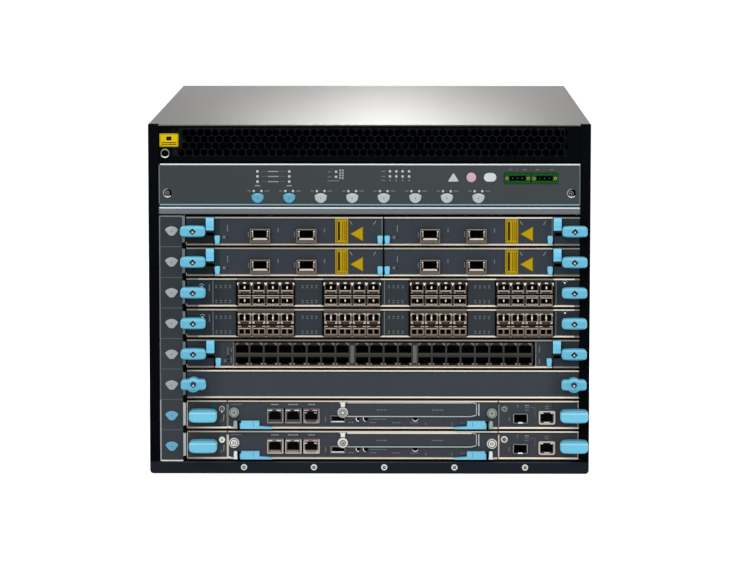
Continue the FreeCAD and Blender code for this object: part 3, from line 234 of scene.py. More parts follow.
def shield(x, z, half, tall):
    """Arched top, sides that draw in, and a shallow point below."""
    return [(x + half * a, z + tall * b) for a, b in SHIELD + [(-a, b) for a, b in reversed(SHIELD[1:-1])]]


def inset(outline, step):
    """The outline moved inwards by one step, its corners mitred."""
    result = []
    for i, here in enumerate(outline):
        before, after = outline[i - 1], outline[(i + 1) % len(outline)]
        a = Vector((here[0] - before[0], here[1] - before[1]))
        b = Vector((after[0] - here[0], after[1] - here[1]))
        if a.length < 1e-9 or b.length < 1e-9:
            result.append(here)
            continue
        a.normalize()
        b.normalize()
        first, second = Vector((-a.y, a.x)), Vector((-b.y, b.x))
        way = first + second
        if way.length < 1e-6:
            way = first
        way.normalize()
        reach = step / max(0.35, way.dot(first))
        result.append((here[0] + way.x * reach, here[1] + way.y * reach))
    return result


class Shape:
    """A mesh in the making, in millimetres from a place of its own, whose faces each have a finish."""

    def __init__(self, name, body, finishes, slot=None):
        self.name = name
        self.body = body
        self.finishes = [SMALL[finish] for finish in finishes.split()]
        self.slot = slot
        self.points = []
        self.faces = []
        self.kinds = []
        self.origin = (0.0, 0.0, 0.0)

    def at(self, x=0.0, y=0.0, z=0.0):
        """The place that what follows is measured from."""
        self.origin = (x, y, z)
        return self

    def loop(self, outline, y):
        start = len(self.points)
        left, deep, low = self.origin
        self.points += [(left + a, deep + y, low + b) for a, b in outline]
        return list(range(start, len(self.points)))

    def band(self, first, second, kind):
        for i in range(len(first)):
            j = (i + 1) % len(first)
            self.faces.append((first[i], first[j], second[j], second[i]))
            self.kinds.append(kind)

    def cap(self, loop, kind):
        self.faces.append(tuple(loop))
        self.kinds.append(kind)

    def slab(self, outline, back, front, kind=0, bevel=0.0, edge=None):
        """An outline drawn from the back to the front, its front edge slanted."""
        side = kind if edge is None else edge
        loops = [self.loop(outline, back), self.loop(outline, front + bevel)]
        if bevel:
            loops.append(self.loop(inset(outline, bevel), front))
        for first, second in zip(loops, loops[1:]):
            self.band(first, second, side)
        self.cap(loops[0], side)
        self.cap(loops[-1], kind)

    def collar(self, outer, inner, back, front, kind=0, bevel=0.0, mouth=None, edge=None):
        """A frame between two outlines with the same number of points."""
        inside = kind if mouth is None else mouth
        rim = kind if edge is None else edge
        loops = [self.loop(outer, back), self.loop(outer, front + bevel)]
        kinds = [rim]
        if bevel:
            loops.append(self.loop(inset(outer, bevel), front))
            kinds.append(rim)
        loops += [self.loop(inner, front), self.loop(inner, back)]
        kinds += [kind, inside]
        for (first, second), finish in zip(zip(loops, loops[1:]), kinds):
            self.band(first, second, finish)
        self.band(loops[-1], loops[0], inside)

    def turned(self, x, z, profile, kinds=0, steps=20):
        """A profile of (radius, y) turned about a line along Y, in one finish or one a step."""
        rings = [self.loop(circle(x, z, max(radius, 0.001), steps), y) for radius, y in profile]
        if isinstance(kinds, int):
            kinds = [kinds] * (len(rings) - 1)
        for first, second, kind in zip(rings, rings[1:], kinds):
            self.band(first, second, kind)
        self.cap(rings[0], kinds[0])
        self.cap(rings[-1], kinds[-1])

    def block(self, left, right, back, front, low, high, kind=0, bevel=0.0):
        self.slab(rect(left, right, low, high), back, front, kind, bevel)

    def blocks(self, *rows):
        for row in rows:
            self.block(*row)

    def make(self, turn=None):
        mesh = bpy.data.meshes.new(self.name)
        points = [Vector(p) if turn is None else turn @ Vector(p) for p in self.points]
        mesh.from_pydata([tuple(p * MM) for p in points], [], self.faces)
        for finish in self.finishes:
            mesh.materials.append(finish)
        mesh.polygons.foreach_set("material_index", self.kinds)
        work = bmesh.new()
        work.from_mesh(mesh)
        bmesh.ops.recalc_face_normals(work, faces=work.faces)
        work.to_mesh(mesh)
        work.free()
        for polygon in mesh.polygons:
            polygon.use_smooth = True
        mesh.set_sharp_from_angle(angle=math.radians(33))
        piece = bpy.data.objects.new(self.name, mesh)
        bpy.context.scene.collection.objects.link(piece)
        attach(piece, self.body)


# Finishes of the painted and bare metal

# Painted faces by slot, at the ends beside the bays and along the middle: the darker tone at the ends is
# painted shade
CARD_GREY = {1: ((38, 52, 60), (55, 61, 69)), 2: ((38, 52, 60), (55, 61, 69)),
             3: ((36, 45, 51), (48, 55, 60)),
             4: ((40, 47, 52), (50, 56, 61)), 5: ((42, 50, 58), (54, 60, 67)),
             6: ((56, 61, 68), (62, 68, 75)),
             7: ((52, 55, 60), (62, 68, 73)), 8: ((60, 60, 62), (64, 68, 74))}
# Levels of the painted highlight on the bare rims, at their left and right ends and different in each slot:
# the lower rim's, then the upper rim's
RIM_HIGHLIGHT_LEVELS = {1: (185, 250, 160, 228), 2: (215, 250, 150, 190), 3: (212, 230, 178, 226),
              4: (190, 230, 172, 218),
              5: (240, 246, 104, 150), 6: (212, 242, 228, 222), 7: (248, 246, 190, 232),
              8: (232, 244, 190, 240)}
GREEN = (24, 74, 48)
BUTTON = (190, 196, 200)
SKY = (122, 210, 242)
BARE_STEEL = (150, 150, 147)


def card_finish(name, slot, rims=((-400, 400),)):
    """Painted face, bare rims on its edges, green board and bare sheet behind; painted highlight along the
    rims and on the face just above the lower rim, painted shade along the rims' outer edges and at the ends
    beside the bays.
    """
    base = SLOT_BASE[slot]
    low_left, low_right, top_left, top_right = RIM_HIGHLIGHT_LEVELS[slot]
    ends, middle = CARD_GREY[slot]
    finish = Finish(name, middle, 0.5, gloss=0.1)
    # Darker at the ends beside the bays: painted shade.
    finish.colour = finish.blend(finish.zone(12 if slot in (3, 4, 6) else 0.1, x=(-150, 184)), ends, middle)
    # Painted shadow under the knobs, at the lower left of the first two slots.
    if slot < 3:
        finish.layer(finish.zone(x=(None, -157.0), z=(None, base + 14, 4)), (18, 26, 29))
    finish.drift(38, 0.05)
    rim = finish.zone(y=(None, FACE - 0.4))
    edges = finish.either(finish.zone(z=(None, base + 2.7)), finish.above("z", base + 28.3))
    finish.layer(finish.either(finish.both(rim, edges), finish.above("y", FACE + 1.45)), (186, 182, 174),
                 0.36, 0.9)
    # Painted highlight on the lower rim and the face just above it, and on the top of the upper rim.
    low_highlight_band = finish.zone(y=(None, FACE + 0.4), z=(base + 1.65, base + 3.15, 0.2))
    top_highlight_band = finish.both(rim, finish.above("z", base + 28.7, 0.2))
    # Painted shade along the rims' outer edges.
    dark = finish.either(finish.zone(0.2, z=(None, base + 1.7)),
                         finish.zone(0.2, z=(base + 28.2, base + 28.8)))
    finish.layer(finish.both(rim, dark), (42, 38, 35), 0.5, 0.2)
    finish.layer(finish.either(low_highlight_band, top_highlight_band), warm(135), 0.36, 0.3)
    along = finish.ramp("x", -150, 205)
    # The painted highlight grows lighter or darker along each rim, from the levels at its ends.
    for left, right in rims:
        length = finish.zone(26.0 if slot > 5 else 1.0, x=(left, right))
        for band, first, last in ((low_highlight_band, low_left, low_right), (top_highlight_band, top_left, top_right)):
            finish.layer(finish.both(band, length), finish.blend(along, warm(first), warm(last)), 0.36, 0.3)
    finish.layer(finish.zone(y=(FACE + 20, None), z=(base + 2.55, base + 4.75)), GREEN, 0.42, 0.0)
    return finish.grain(0.5, 0.02, strength=0.35)


def painted_shade_inside(finish, x, z, y, level=(9, 8, 8)):
    """Painted shade: a dark inside between two places along each axis."""
    return finish.layer(finish.zone(x=x, z=z, y=y), level, 0.8, 0.0)


def dark_paint(name, level):
    return Finish(name, level, 0.6, gloss=0.0).drift(60, 0.10).grain(0.45, 0.03)


def bare_metal(name, level, roughness=0.34, metallic=0.9, stretch=(0.05, 1, 1)):
    return Finish(name, level, roughness, metallic).drift(9, 0.06, stretch).grain(0.7, 0.006, stretch, 0.35)


def plastic(name, level, roughness=0.38, grain=0.012):
    return Finish(name, level, roughness).drift(12, 0.05).grain(0.35, grain, strength=0.4)


posts = dark_paint("frame_black", (11, 13, 16))
posts.layer(posts.zone(z=(None, 11.9)), (36, 40, 48))
# A painted highlight along the top of the sill.
posts.layer(posts.zone(z=(11.2, 12.4, 0.5), x=(-205, 205, 20)), (70, 74, 82))
dress(posts, "front_frame")
shell = bare_metal("shell_steel", BARE_STEEL, 0.4, 0.85, (1, 0.06, 1))
# The shell's inside is near black: painted shade.
dress(painted_shade_inside(shell, (-220.9, 220.9), (262, 352), (-308, REAR + 1)), "chassis_shell")
cover = Finish("cover_steel", (104, 102, 99), 0.34, 0.36, gloss=0.0).drift(14, 0.05, (1, 0.05, 1))
cover.grain(0.8, 0.004, (1, 0.05, 1), 0.25)
# Below its top the cover is near black: painted shade inside the chassis.
dress(cover.layer(cover.zone(z=(None, 352.0)), (6, 6, 7), 0.8, 0.0), "top_cover")
grille = dark_paint("grille_black", (10, 13, 15))
webs = grille.both(grille.zone(z=(321.6, 350.0, 0.8), x=(-197, 196, 2)),
                   grille.ramp(grille.noise(7), 0.37 / MM, 0.47 / MM))
grille.layer(webs, (23, 26, 30))
# Behind the front the grille is near black: painted shade.
grille.layer(grille.above("y", FACE + 0.1), (3, 3, 4), 0.8)
grille.layer(grille.zone(x=(None, -198.5), z=(None, 329.5), y=(None, FACE - 0.05)), (24, 20, 19), 0.5, 0.2)
dress(grille, "intake_grille")
strip = Finish("strip_grey", (58, 66, 70), 0.5, gloss=0.1)
strip.colour = strip.blend(strip.ramp("z", 110, 160), (59, 65, 69), (50, 58, 63))
dress(strip.drift(30, 0.06).grain(0.5, 0.02), "label_strip")
zinc = bare_metal("cage_zinc", (150, 152, 152), 0.36, 0.85)
zinc.layer(zinc.zone(y=(None, FACE + 1), z=(262, None)), (104, 111, 115), 0.5, 0.3)
# Behind the faces the cage is near black: painted shade inside the chassis.
dress(zinc.layer(zinc.zone(y=(FACE + 1.5, 305), z=(262, None)), (8, 8, 9), 0.8, 0.0), "card_cage")
dress(Finish("board_green", GREEN, 0.4).drift(20, 0.1).grain(1.5, 0.02), "midplane")
panel = Finish("panel_grey", (70, 77, 79), 0.46, gloss=0.2)
panel.colour = panel.blend(panel.ramp("x", -150, 60), (53, 59, 61), (58, 64, 66))
dress(panel.drift(60, 0.03).grain(0.5, 0.012, strength=0.3), "display_panel")
terminal = Finish("terminal_green", (16, 82, 28), 0.4, gloss=0.06).drift(12, 0.05).grain(0.35, 0.012)
dress(terminal.layer(terminal.above("y", PANEL + 0.6), (5, 18, 8)), "relay_terminals")
supply = bare_metal("supply_steel", (168, 168, 164), 0.4, 0.85)
inlet_low = corners("power_supplies")[0].z + 14
supply.layer(supply.zone(z=(inlet_low - 0.1, inlet_low + 16.1), y=(REAR - 18.2, REAR - 0.3)),
             (22, 22, 24), 0.5, 0.0)
supply.layer(supply.above("y", REAR + 0.5), (30, 31, 34), 0.45, 0.0)
# All but the rear 14 mm of the supplies is near black: painted shade inside the chassis.
dress(supply.layer(supply.zone(4, y=(None, REAR - 14)), (7, 7, 8), 0.8, 0.0), "power_supplies")
rear = bare_metal("rear_steel", (160, 160, 156), 0.4, 0.85)
# In front of its outer skin the rear panel is near black: painted shade inside.
dress(rear.layer(rear.zone(y=(None, REAR - 0.8)), (7, 7, 8), 0.8, 0.0), "rear_panel")
fan_low, fan_high = corners("fan_tray")
fan = plastic("fan_black", (28, 29, 31), 0.5)
sheet = fan.zone(x=(None, fan_low.x + 2.1), y=(None, REAR - 3))
fan.layer(fan.either(fan.above("y", REAR - 2.1), sheet), BARE_STEEL, 0.4, 0.85)
dress(fan.layer(fan.above("y", REAR + 0.2), (92, 170, 205), 0.4, 0.0), "fan_tray")
foam = Finish("filter_grey", (58, 60, 62), 0.85).drift(3, 0.3).grain(2.0, 0.5, strength=0.8)
dress(foam.layer(foam.above("y", REAR - 12), BARE_STEEL, 0.4, 0.85), "air_filter")


def cap_finish(name, level, edge, dot, places):
    """A button's plastic with a painted highlight along its upper edge and one small mark on each cap."""
    low, high = corners("slot_button_1")
    middle = (low.z + high.z) / 2
    finish = plastic(name, level, 0.42)
    # Painted highlight along the top of each cap.
    finish.layer(finish.above("z", high.z - 1.2, 0.8), edge)
    for x in places:
        finish.layer(finish.zone(x=(x - 0.45, x + 0.45), z=(middle - 0.8, middle + 1.0)), dot)
    return finish.done()


BUTTON_PLACES = [sum(corner.x for corner in corners(f"slot_button_{number}")) / 2 for number in range(1, 9)]
button_grey = cap_finish("button_grey", BUTTON, (214, 222, 228), (120, 126, 130), BUTTON_PLACES[2:])
button_blue = cap_finish("button_blue", (94, 172, 204), (140, 206, 232), (70, 130, 160), BUTTON_PLACES[:2])
dress(button_blue, "slot_button_1", "slot_button_2")
dress(button_grey, "alarm_button", *[f"slot_button_{number}" for number in range(3, 9)])

OPTIC_PITCH = 14.25
OPTIC_STARTS = [-132.6 + 86.83 * group for group in range(4)]
BAY = ((-155.2, 183.9),)
BETWEEN_OPTICS = list(zip([-172.0] + [start + 57.2 for start in OPTIC_STARTS],
                          [start - 0.6 for start in OPTIC_STARTS] + [206.0]))
CAGE_PLACES = (45.8, 92.4)

for slot, node in enumerate(SLOT_NODES, start=1):
    base = SLOT_BASE[slot]
    rims = BAY if slot in (1, 2, 5) else BETWEEN_OPTICS if slot in (3, 4) else ((-171.0, 216.0),)
    paint = card_finish(f"card_paint_{slot}", slot, rims)
    if slot in (3, 4):
        level = (44, 36, 30) if slot == 3 else (44, 37, 32)
        paint.layer(paint.zone(z=(base + 3.1, base + 27.9), y=(None, FACE - 0.2)), level, 0.4, 0.5)
        # Painted shade inside each group of optics.
        for start in OPTIC_STARTS:
            painted_shade_inside(paint, (start - 0.7, start + 56.6), (base + 3.0, base + 28.0),
                   (FACE - 0.95, FACE + 9.5), (22, 18, 12))
    # Painted shade inside the fabric cards' cage and jack.
    if slot > 6:
        painted_shade_inside(paint, (145.6, 159.2), (base + 7.4, base + 16.8), (FRONT + 0.3, FACE + 30))
        painted_shade_inside(paint, (171.6, 187.0), (base + 6.8, base + 19.0), (FACE - 0.6, FACE + 30))
    dress(paint, node)

for number in range(1, 5):
    slot = 1 if number < 3 else 2
    base = SLOT_BASE[slot]
    left = corners(f"port_module_{number}")[0].x
    paint = card_finish(f"module_paint_{number}", slot)
    paint.layer(paint.zone(y=(None, FACE - 0.2), z=(base + 3.5, base + 19.5)), (96, 85, 76), 0.4, 0.5)
    # Painted shade inside each optics cage.
    for place in CAGE_PLACES:
        x = left + place
        painted_shade_inside(paint, (x - 9.2, x + 9.2), (base + 5.0, base + 17.8), (FRONT - 3.4, FACE + 60))
    dress(paint, f"port_module_{number}")

base = SLOT_BASE[5]
paint = card_finish("module_paint_5", 5)
paint.layer(paint.zone(y=(None, FACE - 0.2), z=(base + 2.6, base + 28.4)), (46, 44, 41), 0.5, 0.3)
# Painted shade inside the block of jacks.
dress(painted_shade_inside(paint, (-134.6, 168.0), (base + 3.0, base + 28.0), (FACE - 0.65, FACE + 12.5)),
      "port_module_5")

for number, level in ((1, (64, 62, 59)), (2, (118, 110, 103))):
    base = SLOT_BASE[number + 6]
    paint = card_finish(f"control_paint_{number}", number + 6)
    paint.layer(paint.zone(y=(None, FACE - 0.2), x=(-104, -24), z=(base + 4.0, base + 22.2)),
                level, 0.34, 0.4)
    # Painted shade inside the jacks and the data port.
    painted_shade_inside(paint, (-103.0, -50.0), (base + 7.8, base + 22.0), (FACE - 0.6, FACE + 30))
    painted_shade_inside(paint, (-39.5, -24.5), (base + 7.0, base + 15.5), (FACE - 0.6, FACE + 30))
    dress(paint, f"control_module_{number}")


def blue_finish(name, front, side, highlight_and_shade_bands=()):
    """Moulded blue, its flat front and its sides in lit and shaded tones of one blue, with painted
    highlight and painted shade in bands by height in every slot.
    """
    finish = plastic(name, side, 0.36, 0.02)
    finish.layer(finish.zone(0.6, y=(None, FRONT - 12.4)), front)
    for low, high, level in highlight_and_shade_bands:
        for base in SLOT_BASE.values():
            finish.layer(finish.zone(0.9, z=(base + low, base + high)), level)
    return finish.layer(finish.above("y", FRONT - 0.2), (150, 152, 154), 0.35, 0.9).done()


# Front and side tones are lit and shaded copies of one blue. Knobs: a painted highlight band at the top and
# painted shade lower down. Barrels: a painted highlight line with a band of painted shade above it.
knob_blue = blue_finish("knob_blue", (104, 188, 218), SKY,
                        ((19.4, 23.5, (128, 214, 242)), (8.0, 12.2, (84, 166, 198))))
barrel_blue = blue_finish("barrel_blue", (124, 214, 244), (96, 180, 214),
                          ((18.3, 19.9, (166, 234, 252)), (19.9, 23.5, (106, 188, 220))))
lever_blue = blue_finish("lever_blue", SKY, (128, 214, 246))
for name in nodes:
    if "latches" in name:
        # Latches: a lighter top as painted highlight, a thin darker band, and near black below as painted
        # shade in the recess under the latch.
        latch_paint = plastic("latch_lit_and_shaded", SKY, 0.36, 0.02)
        base = SLOT_BASE[int(name[-1])]
        latch_paint.layer(latch_paint.above("z", base + 26.6, 0.8), (140, 220, 244))
        latch_paint.layer(latch_paint.zone(0.6, z=(base + 20.2, base + 21.2)), (108, 194, 226))
        dress(latch_paint.layer(latch_paint.zone(0.2, z=(None, base + 17.2)), (12, 18, 22)), name)
    elif "lever" in name or "knob" in name:
        dress(lever_blue if "lever" in name else barrel_blue if "fabric" in name else knob_blue, name)

# Finishes of the small pieces: metals, plastics, then prints and lines

METALS = {"silver": (222, 222, 218, 0.26, 0.85), "grey_metal": (142, 140, 135, 0.34, 0.8),
          "brown_metal": (92, 80, 71, 0.42, 0.4), "dark_metal": (58, 52, 48, 0.5, 0.3),
          "gold": (205, 165, 90, 0.28, 0.9), "bright": (236, 234, 228, 0.3, 0.3),
          "warm_metal": (168, 154, 143, 0.34, 0.4), "lip_metal": (206, 196, 190, 0.34, 0.4),
          "screw_grey": (158, 160, 156, 0.34, 0.5), "screw_dim": (112, 115, 112, 0.4, 0.5),
          "frame_beige": (204, 194, 182, 0.36, 0.3), "optic_frame": (122, 109, 97, 0.4, 0.3),
          "optic_side": (76, 65, 56, 0.45, 0.3), "optic_brown": (54, 42, 33, 0.5, 0.3),
          "optic_light": (184, 171, 160, 0.36, 0.35), "jack_rib": (48, 46, 43, 0.5, 0.2),
          "jack_bar": (58, 55, 52, 0.5, 0.2), "jack_wedge": (112, 108, 101, 0.4, 0.3),
          "jack_band": (104, 90, 76, 0.4, 0.3), "jack_post": (112, 114, 108, 0.5, 0.2),
          "contact_dark": (58, 48, 24, 0.4, 0.5)}
PLASTICS = {"lamp_grey": (200, 202, 202, 0.3), "lamp_pink": (216, 176, 192, 0.3),
            "lamp_window": (238, 236, 230, 0.25),
            "lamp_window_pink": (226, 180, 190, 0.25), "handle_dark": (58, 128, 158, 0.4),
            "handle_light": (140, 215, 240, 0.35), "handle_plain": (*SKY, 0.36),
            "rust_dark": (70, 40, 24, 0.5),
            # The dark blue below lines the knobs' recesses as painted shade.
            "deep_green": (2, 56, 36, 0.5), "recess_blue": (26, 42, 54, 0.5),
            "shield_grey": (176, 180, 186, 0.45),
            "shield_blue": (112, 182, 214, 0.45), "dark_plastic": (30, 31, 34, 0.45)}
# Colour, roughness, metal, gloss, then the size and strength of the patches
PRINTS = {"print_light": (150, 156, 158, 0.55, 0.0, 0.3, 2, 0.08),
          "print_dim": (108, 114, 117, 0.55, 0.0, 0.3, 2, 0.08),
          "print_dark": (26, 22, 10, 0.6, 0.0, 0.05, 2, 0.1),
          "strap_yellow": (228, 196, 12, 0.5, 0.0, 0.06, 8, 0.05),
          "label_edge": (104, 80, 8, 0.5, 0.0, 0.06, 8, 0.08),
          "line_light": (178, 184, 185, 0.4, 0.3, 0.3, 20, 0.06),
          "line_dim": (92, 98, 99, 0.5, 0.0, 0.3, 20, 0.06),
          "line_mid": (118, 124, 123, 0.5, 0.0, 0.3, 20, 0.06),
          "white_edge": (232, 236, 236, 0.35, 0.2, 0.3, 60, 0.05),
          "teal_edge": (126, 166, 178, 0.35, 0.2, 0.3, 70, 0.12),
          "shadow_line": (30, 33, 37, 0.6, 0.0, 0.3, 20, 0.1),
          # The near black below is painted shade, laid into openings, gaps and recesses.
          "hole_black": (7, 6, 7, 0.8, 0.0, 0.02, 4, 0.2)}
SMALL = {name: bare_metal(name, row[:3], *row[3:]).done() for name, row in METALS.items()}
SMALL.update({name: plastic(name, row[:3], row[3]).done() for name, row in PLASTICS.items()})
for name, row in PRINTS.items():
    along_x = (0.1, 1, 1) if name == "line_light" else (1, 1, 1)
    SMALL[name] = Finish(name, row[:3], *row[3:6]).drift(*row[6:], along_x).done()
label_paint = Finish("label_yellow", (192, 160, 14), 0.5, gloss=0.06).drift(8, 0.05)
SMALL["label_yellow"] = label_paint.grain(0.6, 0.008).done()

# Chassis: sill screws, captive screws, strap jack, label


def screw_head(shape, x, z, y, radius, metal, dark, lift=1.0, steps=20, share=0.5):
    """A flat round head with a small cross in a dark dish."""
    dish = radius * share
    shape.turned(x, z, [(radius, y), (radius, y - lift * 0.55), (radius * 0.86, y - lift), (dish, y - lift),
                        (dish * 0.85, y - lift * 0.6), (0, y - lift * 0.6)],
                 (metal, metal, metal, dark, dark), steps)
    arm, thin = dish * 0.56, dish * 0.104
    for turn in (20, 110):
        shape.slab(spun(rect(-arm, arm, -thin, thin), turn, x, z), y - lift * 0.6, y - lift * 0.75, metal)


def crescent(shape, x, z, outer, inner, middle, spread, back, front, kind):
    """An arc of a ring, thick at its middle and drawn out to points."""
    steps = 10
    points = arc(x, z, outer, middle - spread, 2 * spread, steps)
    for i in range(steps - 1, 0, -1):
        angle = math.radians(middle - spread + 2 * spread * i / steps)
        reach = inner + (outer - inner) * 0.85 * abs(2 * i / steps - 1) ** 2
        points.append((x + reach * math.cos(angle), z + reach * math.sin(angle)))
    shape.slab(points, back, front, kind)


fasteners = Shape("front_fasteners", "chassis", "bright hole_black screw_dim screw_grey warm_metal")
for x in (-126.7, -56.0, 15.0, 86.0, 157.3):
    screw_head(fasteners, x, 6.4, FRONT, 3.2, 0, 1, 1.1, 24, 0.52)
for x in (-202.4, 202.4):
    fasteners.at(x, PANEL, 284.7)
    fasteners.turned(0, 0, [(4.5, 1.6), (4.5, -0.1), (4.1, -0.3), (3.6, 0.2), (3.6, 1.1), (0, 1.1)],
                     (2, 2, 2, 1, 1), 28)
    # Crescents on the ring: a grey one at the upper left, a bright painted highlight below, a black painted
    # shade at the right.
    crescent(fasteners, 0, 0, 4.5, 3.6, 150, 75, 0, -0.35, 3)
    crescent(fasteners, 0, 0, 4.5, 3.5, 270, 60, 0, -0.35, 0)
    crescent(fasteners, 0, 0, 4.4, 2.7, 10, 70, 0, -0.34, 1)
    screw_head(fasteners, -0.4, -0.2, 1.1, 2.6, 3, 1, 1.3, 20, 0.75)
fasteners.at(-204.7, FRONT, 324.4)
fasteners.collar(circle(0, 0, 4.5, 28), circle(0, 0, 3.5, 28), 1.5, -0.2, 2, 0.4, 1)
fasteners.turned(0, 0, [(3.5, 1.5), (3.5, 0.6), (2.2, 0.6), (2.15, 1.3), (0, 1.3)], 1, 24)
# Crescents on the ring: a warm one at the top, a bright painted highlight below.
crescent(fasteners, 0, 0, 4.4, 3.4, 90, 66, 0, -0.4, 4)
crescent(fasteners, 0, 0, 4.6, 3.3, 270, 66, 0, -0.4, 0)
fasteners.make()

label = Shape("strap_label", "chassis", "strap_yellow print_dark").at(y=FACE)
label.slab(rounded(-210.3, -191.2, 330.8, 344.2, 1.2), 0.05, -0.25, 0, 0.1)
label.collar(rounded(-209.9, -191.6, 331.2, 343.8, 1.0), rounded(-209.5, -192.0, 331.6, 343.4, 0.8),
             -0.2, -0.3, 1)
label.blocks((-208.2, -193.3, -0.2, -0.3, 332.9, 333.7, 1), (-208.2, -193.3, -0.2, -0.3, 334.6, 335.4, 1))
label.slab(rounded(-203.4, -198.2, 337.2, 341.2, 1.0), -0.2, -0.3, 1)
label.make()

# Display panel: lamps, printed marks, a teal lower edge, and painted highlights along its top and sides


def words(shape, left, right, z, kind=0, tall=1.0, parts=1, y=0.0):
    """Plain bars where the real panel has small print."""
    width = (right - left) / parts
    for i in range(parts):
        start = left + width * i
        end = start + width * 0.82 if parts > 1 else right
        shape.block(start, end, y + 0.02, y - 0.06, z - tall / 2, z + tall / 2, kind)


def column(shape, x, low, high, kind=0, wide=0.9, y=0.0):
    shape.block(x - wide / 2, x + wide / 2, y + 0.02, y - 0.06, low, high, kind)


BUTTON_MIDDLES = [-112.0 + 31.6 * index for index in range(8)]
UPPER_LAMPS = [(x, z, 1.35) for x in (-112.1, -80.3) for z in (306.3, 301.3, 296.1)]
UPPER_LAMPS += [(-33.4, z, 1.3) for z in (306.1, 301.0)]
UPPER_LAMPS += [(x, z, 1.3) for x in (20.6, 26.9, 33.2, 39.7) for z in (306.5, 301.4)]
lamps = Shape("panel_lamps", "chassis", "lamp_grey lamp_pink").at(y=PANEL)
for x, z, radius in [(x + side, 286.6, 1.25) for x in BUTTON_MIDDLES for side in (-3.8, 3.8)] + UPPER_LAMPS:
    lamps.turned(x, z, [(radius, 0.1), (radius, -0.15), (radius * 0.7, -0.45), (0, -0.55)], 0, 14)
lamps.slab([(79.3, 296.2), (88.9, 296.2), (89.2, 297.0), (84.9, 304.3), (83.3, 304.3), (79.0, 297.0)],
           0.05, -0.7, 0, 0.35)
lamps.turned(102.0, 300.5, [(4.8, 0.05), (4.8, -0.5), (4.1, -0.9), (0, -1.0)], 1, 32)
lamps.make()

marks = Shape("panel_marks", "chassis", "print_light print_dim").at(y=PANEL)
for z in (306.3, 301.3, 296.1):
    words(marks, -101.6, -91.0, z, 0, 1.1)
    words(marks, -108.0, -103.2, z, 1, 0.35)
    words(marks, -89.4, -84.4, z, 1, 0.35)
for x in (-112.1, -80.3):
    words(marks, x - 2.6, x + 2.6, 292.0, 0, 1.1)
for x in BUTTON_MIDDLES:
    words(marks, x - 10.2, x - 6.9, 286.7, 1)
    words(marks, x + 6.9, x + 11.6, 286.7, 1)
for z in (306.1, 301.0):
    words(marks, -41.6, -38.4, z, 1)
    for a, b in ((-29.3, 1.3), (-26.6, 1.3), (-29.3, -1.3), (-26.6, -1.3)):
        marks.slab(circle(a, z + b, 1.15, 6, 15 * b), 0.02, -0.06, 0)
words(marks, -42.0, -30.4, 297.0, 1)
for z in (306.5, 301.4, 297.4):
    words(marks, 11.9, 16.0, z, 1)
for x in (20.6, 26.9, 33.2, 39.7):
    words(marks, x - 0.5, x + 0.5, 297.4, 0, 1.3)
for left in (135.3, 162.3):
    for start, end in ((4.0, 7.4), (12.0, 12.9), (18.2, 21.8)):
        words(marks, left + start, left + end, 308.3, 1, 0.9)
marks.make()

edges = Shape("panel_edges", "chassis", "white_edge teal_edge line_mid shadow_line line_dim").at(y=PANEL)
# Painted highlight along the panel's top and sides; a teal line along its bottom.
edges.blocks((-209.6, 210.9, 1.0, -0.1, 312.6, 314.1, 0, 0.2),
             (-209.8, 210.4, 1.0, -0.1, 272.2, 273.7, 1, 0.2),
             (-211.0, -210.2, 1.0, -0.05, 274.0, 312.4, 2), (210.3, 211.0, 1.0, -0.05, 273.0, 313.0, 2))
edges.at(y=FACE)
# Along the rail below: a painted highlight on its top edge, the shadow line under the panel, and a dim line
# at its foot.
edges.blocks((-211.0, 211.0, 0.1, -0.35, 268.7, 270.3, 0, 0.15),
             (-211.0, 211.0, 0.1, -0.3, 270.4, 271.2, 3),
             (-211.0, 211.0, 0.1, -0.12, 263.2, 264.0, 4))
edges.make()

# Label strip: light outline, dividing lines, notches, and a shield for each slot

strip_low, strip_high = corners("label_strip")
split = SLOT_BASE[6] - 0.3
line_left, band_left, band_right = strip_low.x + 1.1, strip_high.x - 2.8, strip_high.x
strip_lines = Shape("strip_lines", "chassis", "line_light line_dim hole_black line_mid bright").at(y=FACE)
for low, high, kind in ((split, strip_high.z, 3), (strip_low.z, split, 0)):
    strip_lines.block(strip_low.x, line_left, 0.1, -0.2, low, high, kind)
    strip_lines.block(band_left, band_right - 0.1, 0.1, -0.2, low, high - 0.4, kind)
strip_lines.block(line_left, band_left, 0.1, -0.2, strip_high.z - 1.4, strip_high.z, 3)
strip_lines.block(line_left, band_right - 1.0, 0.1, -0.25, strip_low.z, strip_low.z + 1.3, 4)
shields = Shape("strip_shields", "chassis", "shield_grey shield_blue print_dim").at(y=FACE)
for slot, base in SLOT_BASE.items():
    x, z = -198.6 - 0.13 * slot, base + 16.0 - 0.23 * slot
    if slot > 1:
        strip_lines.block(line_left + 0.3, band_left - 0.3, 0.1, -0.1, base + 30.6, base + 31.2, 1)
    notch = base - (3.4 if slot > 1 else 2.2)
    strip_lines.slab([(band_left - 0.1, notch + 0.8), (band_left + 0.9, notch), (band_right + 0.6, notch),
                      (band_right + 0.6, base + 5.0), (band_left - 0.1, base + 4.2)], 0.1, -0.35, 2)
    shields.slab(shield(x, z, 6.4, 4.8), 0.05, -0.5, 1 if slot > 6 else 0, 0.2)
    shields.slab(circle(x, z - 0.2, 0.7, 10), -0.45, -0.6, 2)
strip_lines.make()
shields.make()

# Dark seams between the cards' faces and the modules that they hold: the black lines are painted shade in
# the gaps

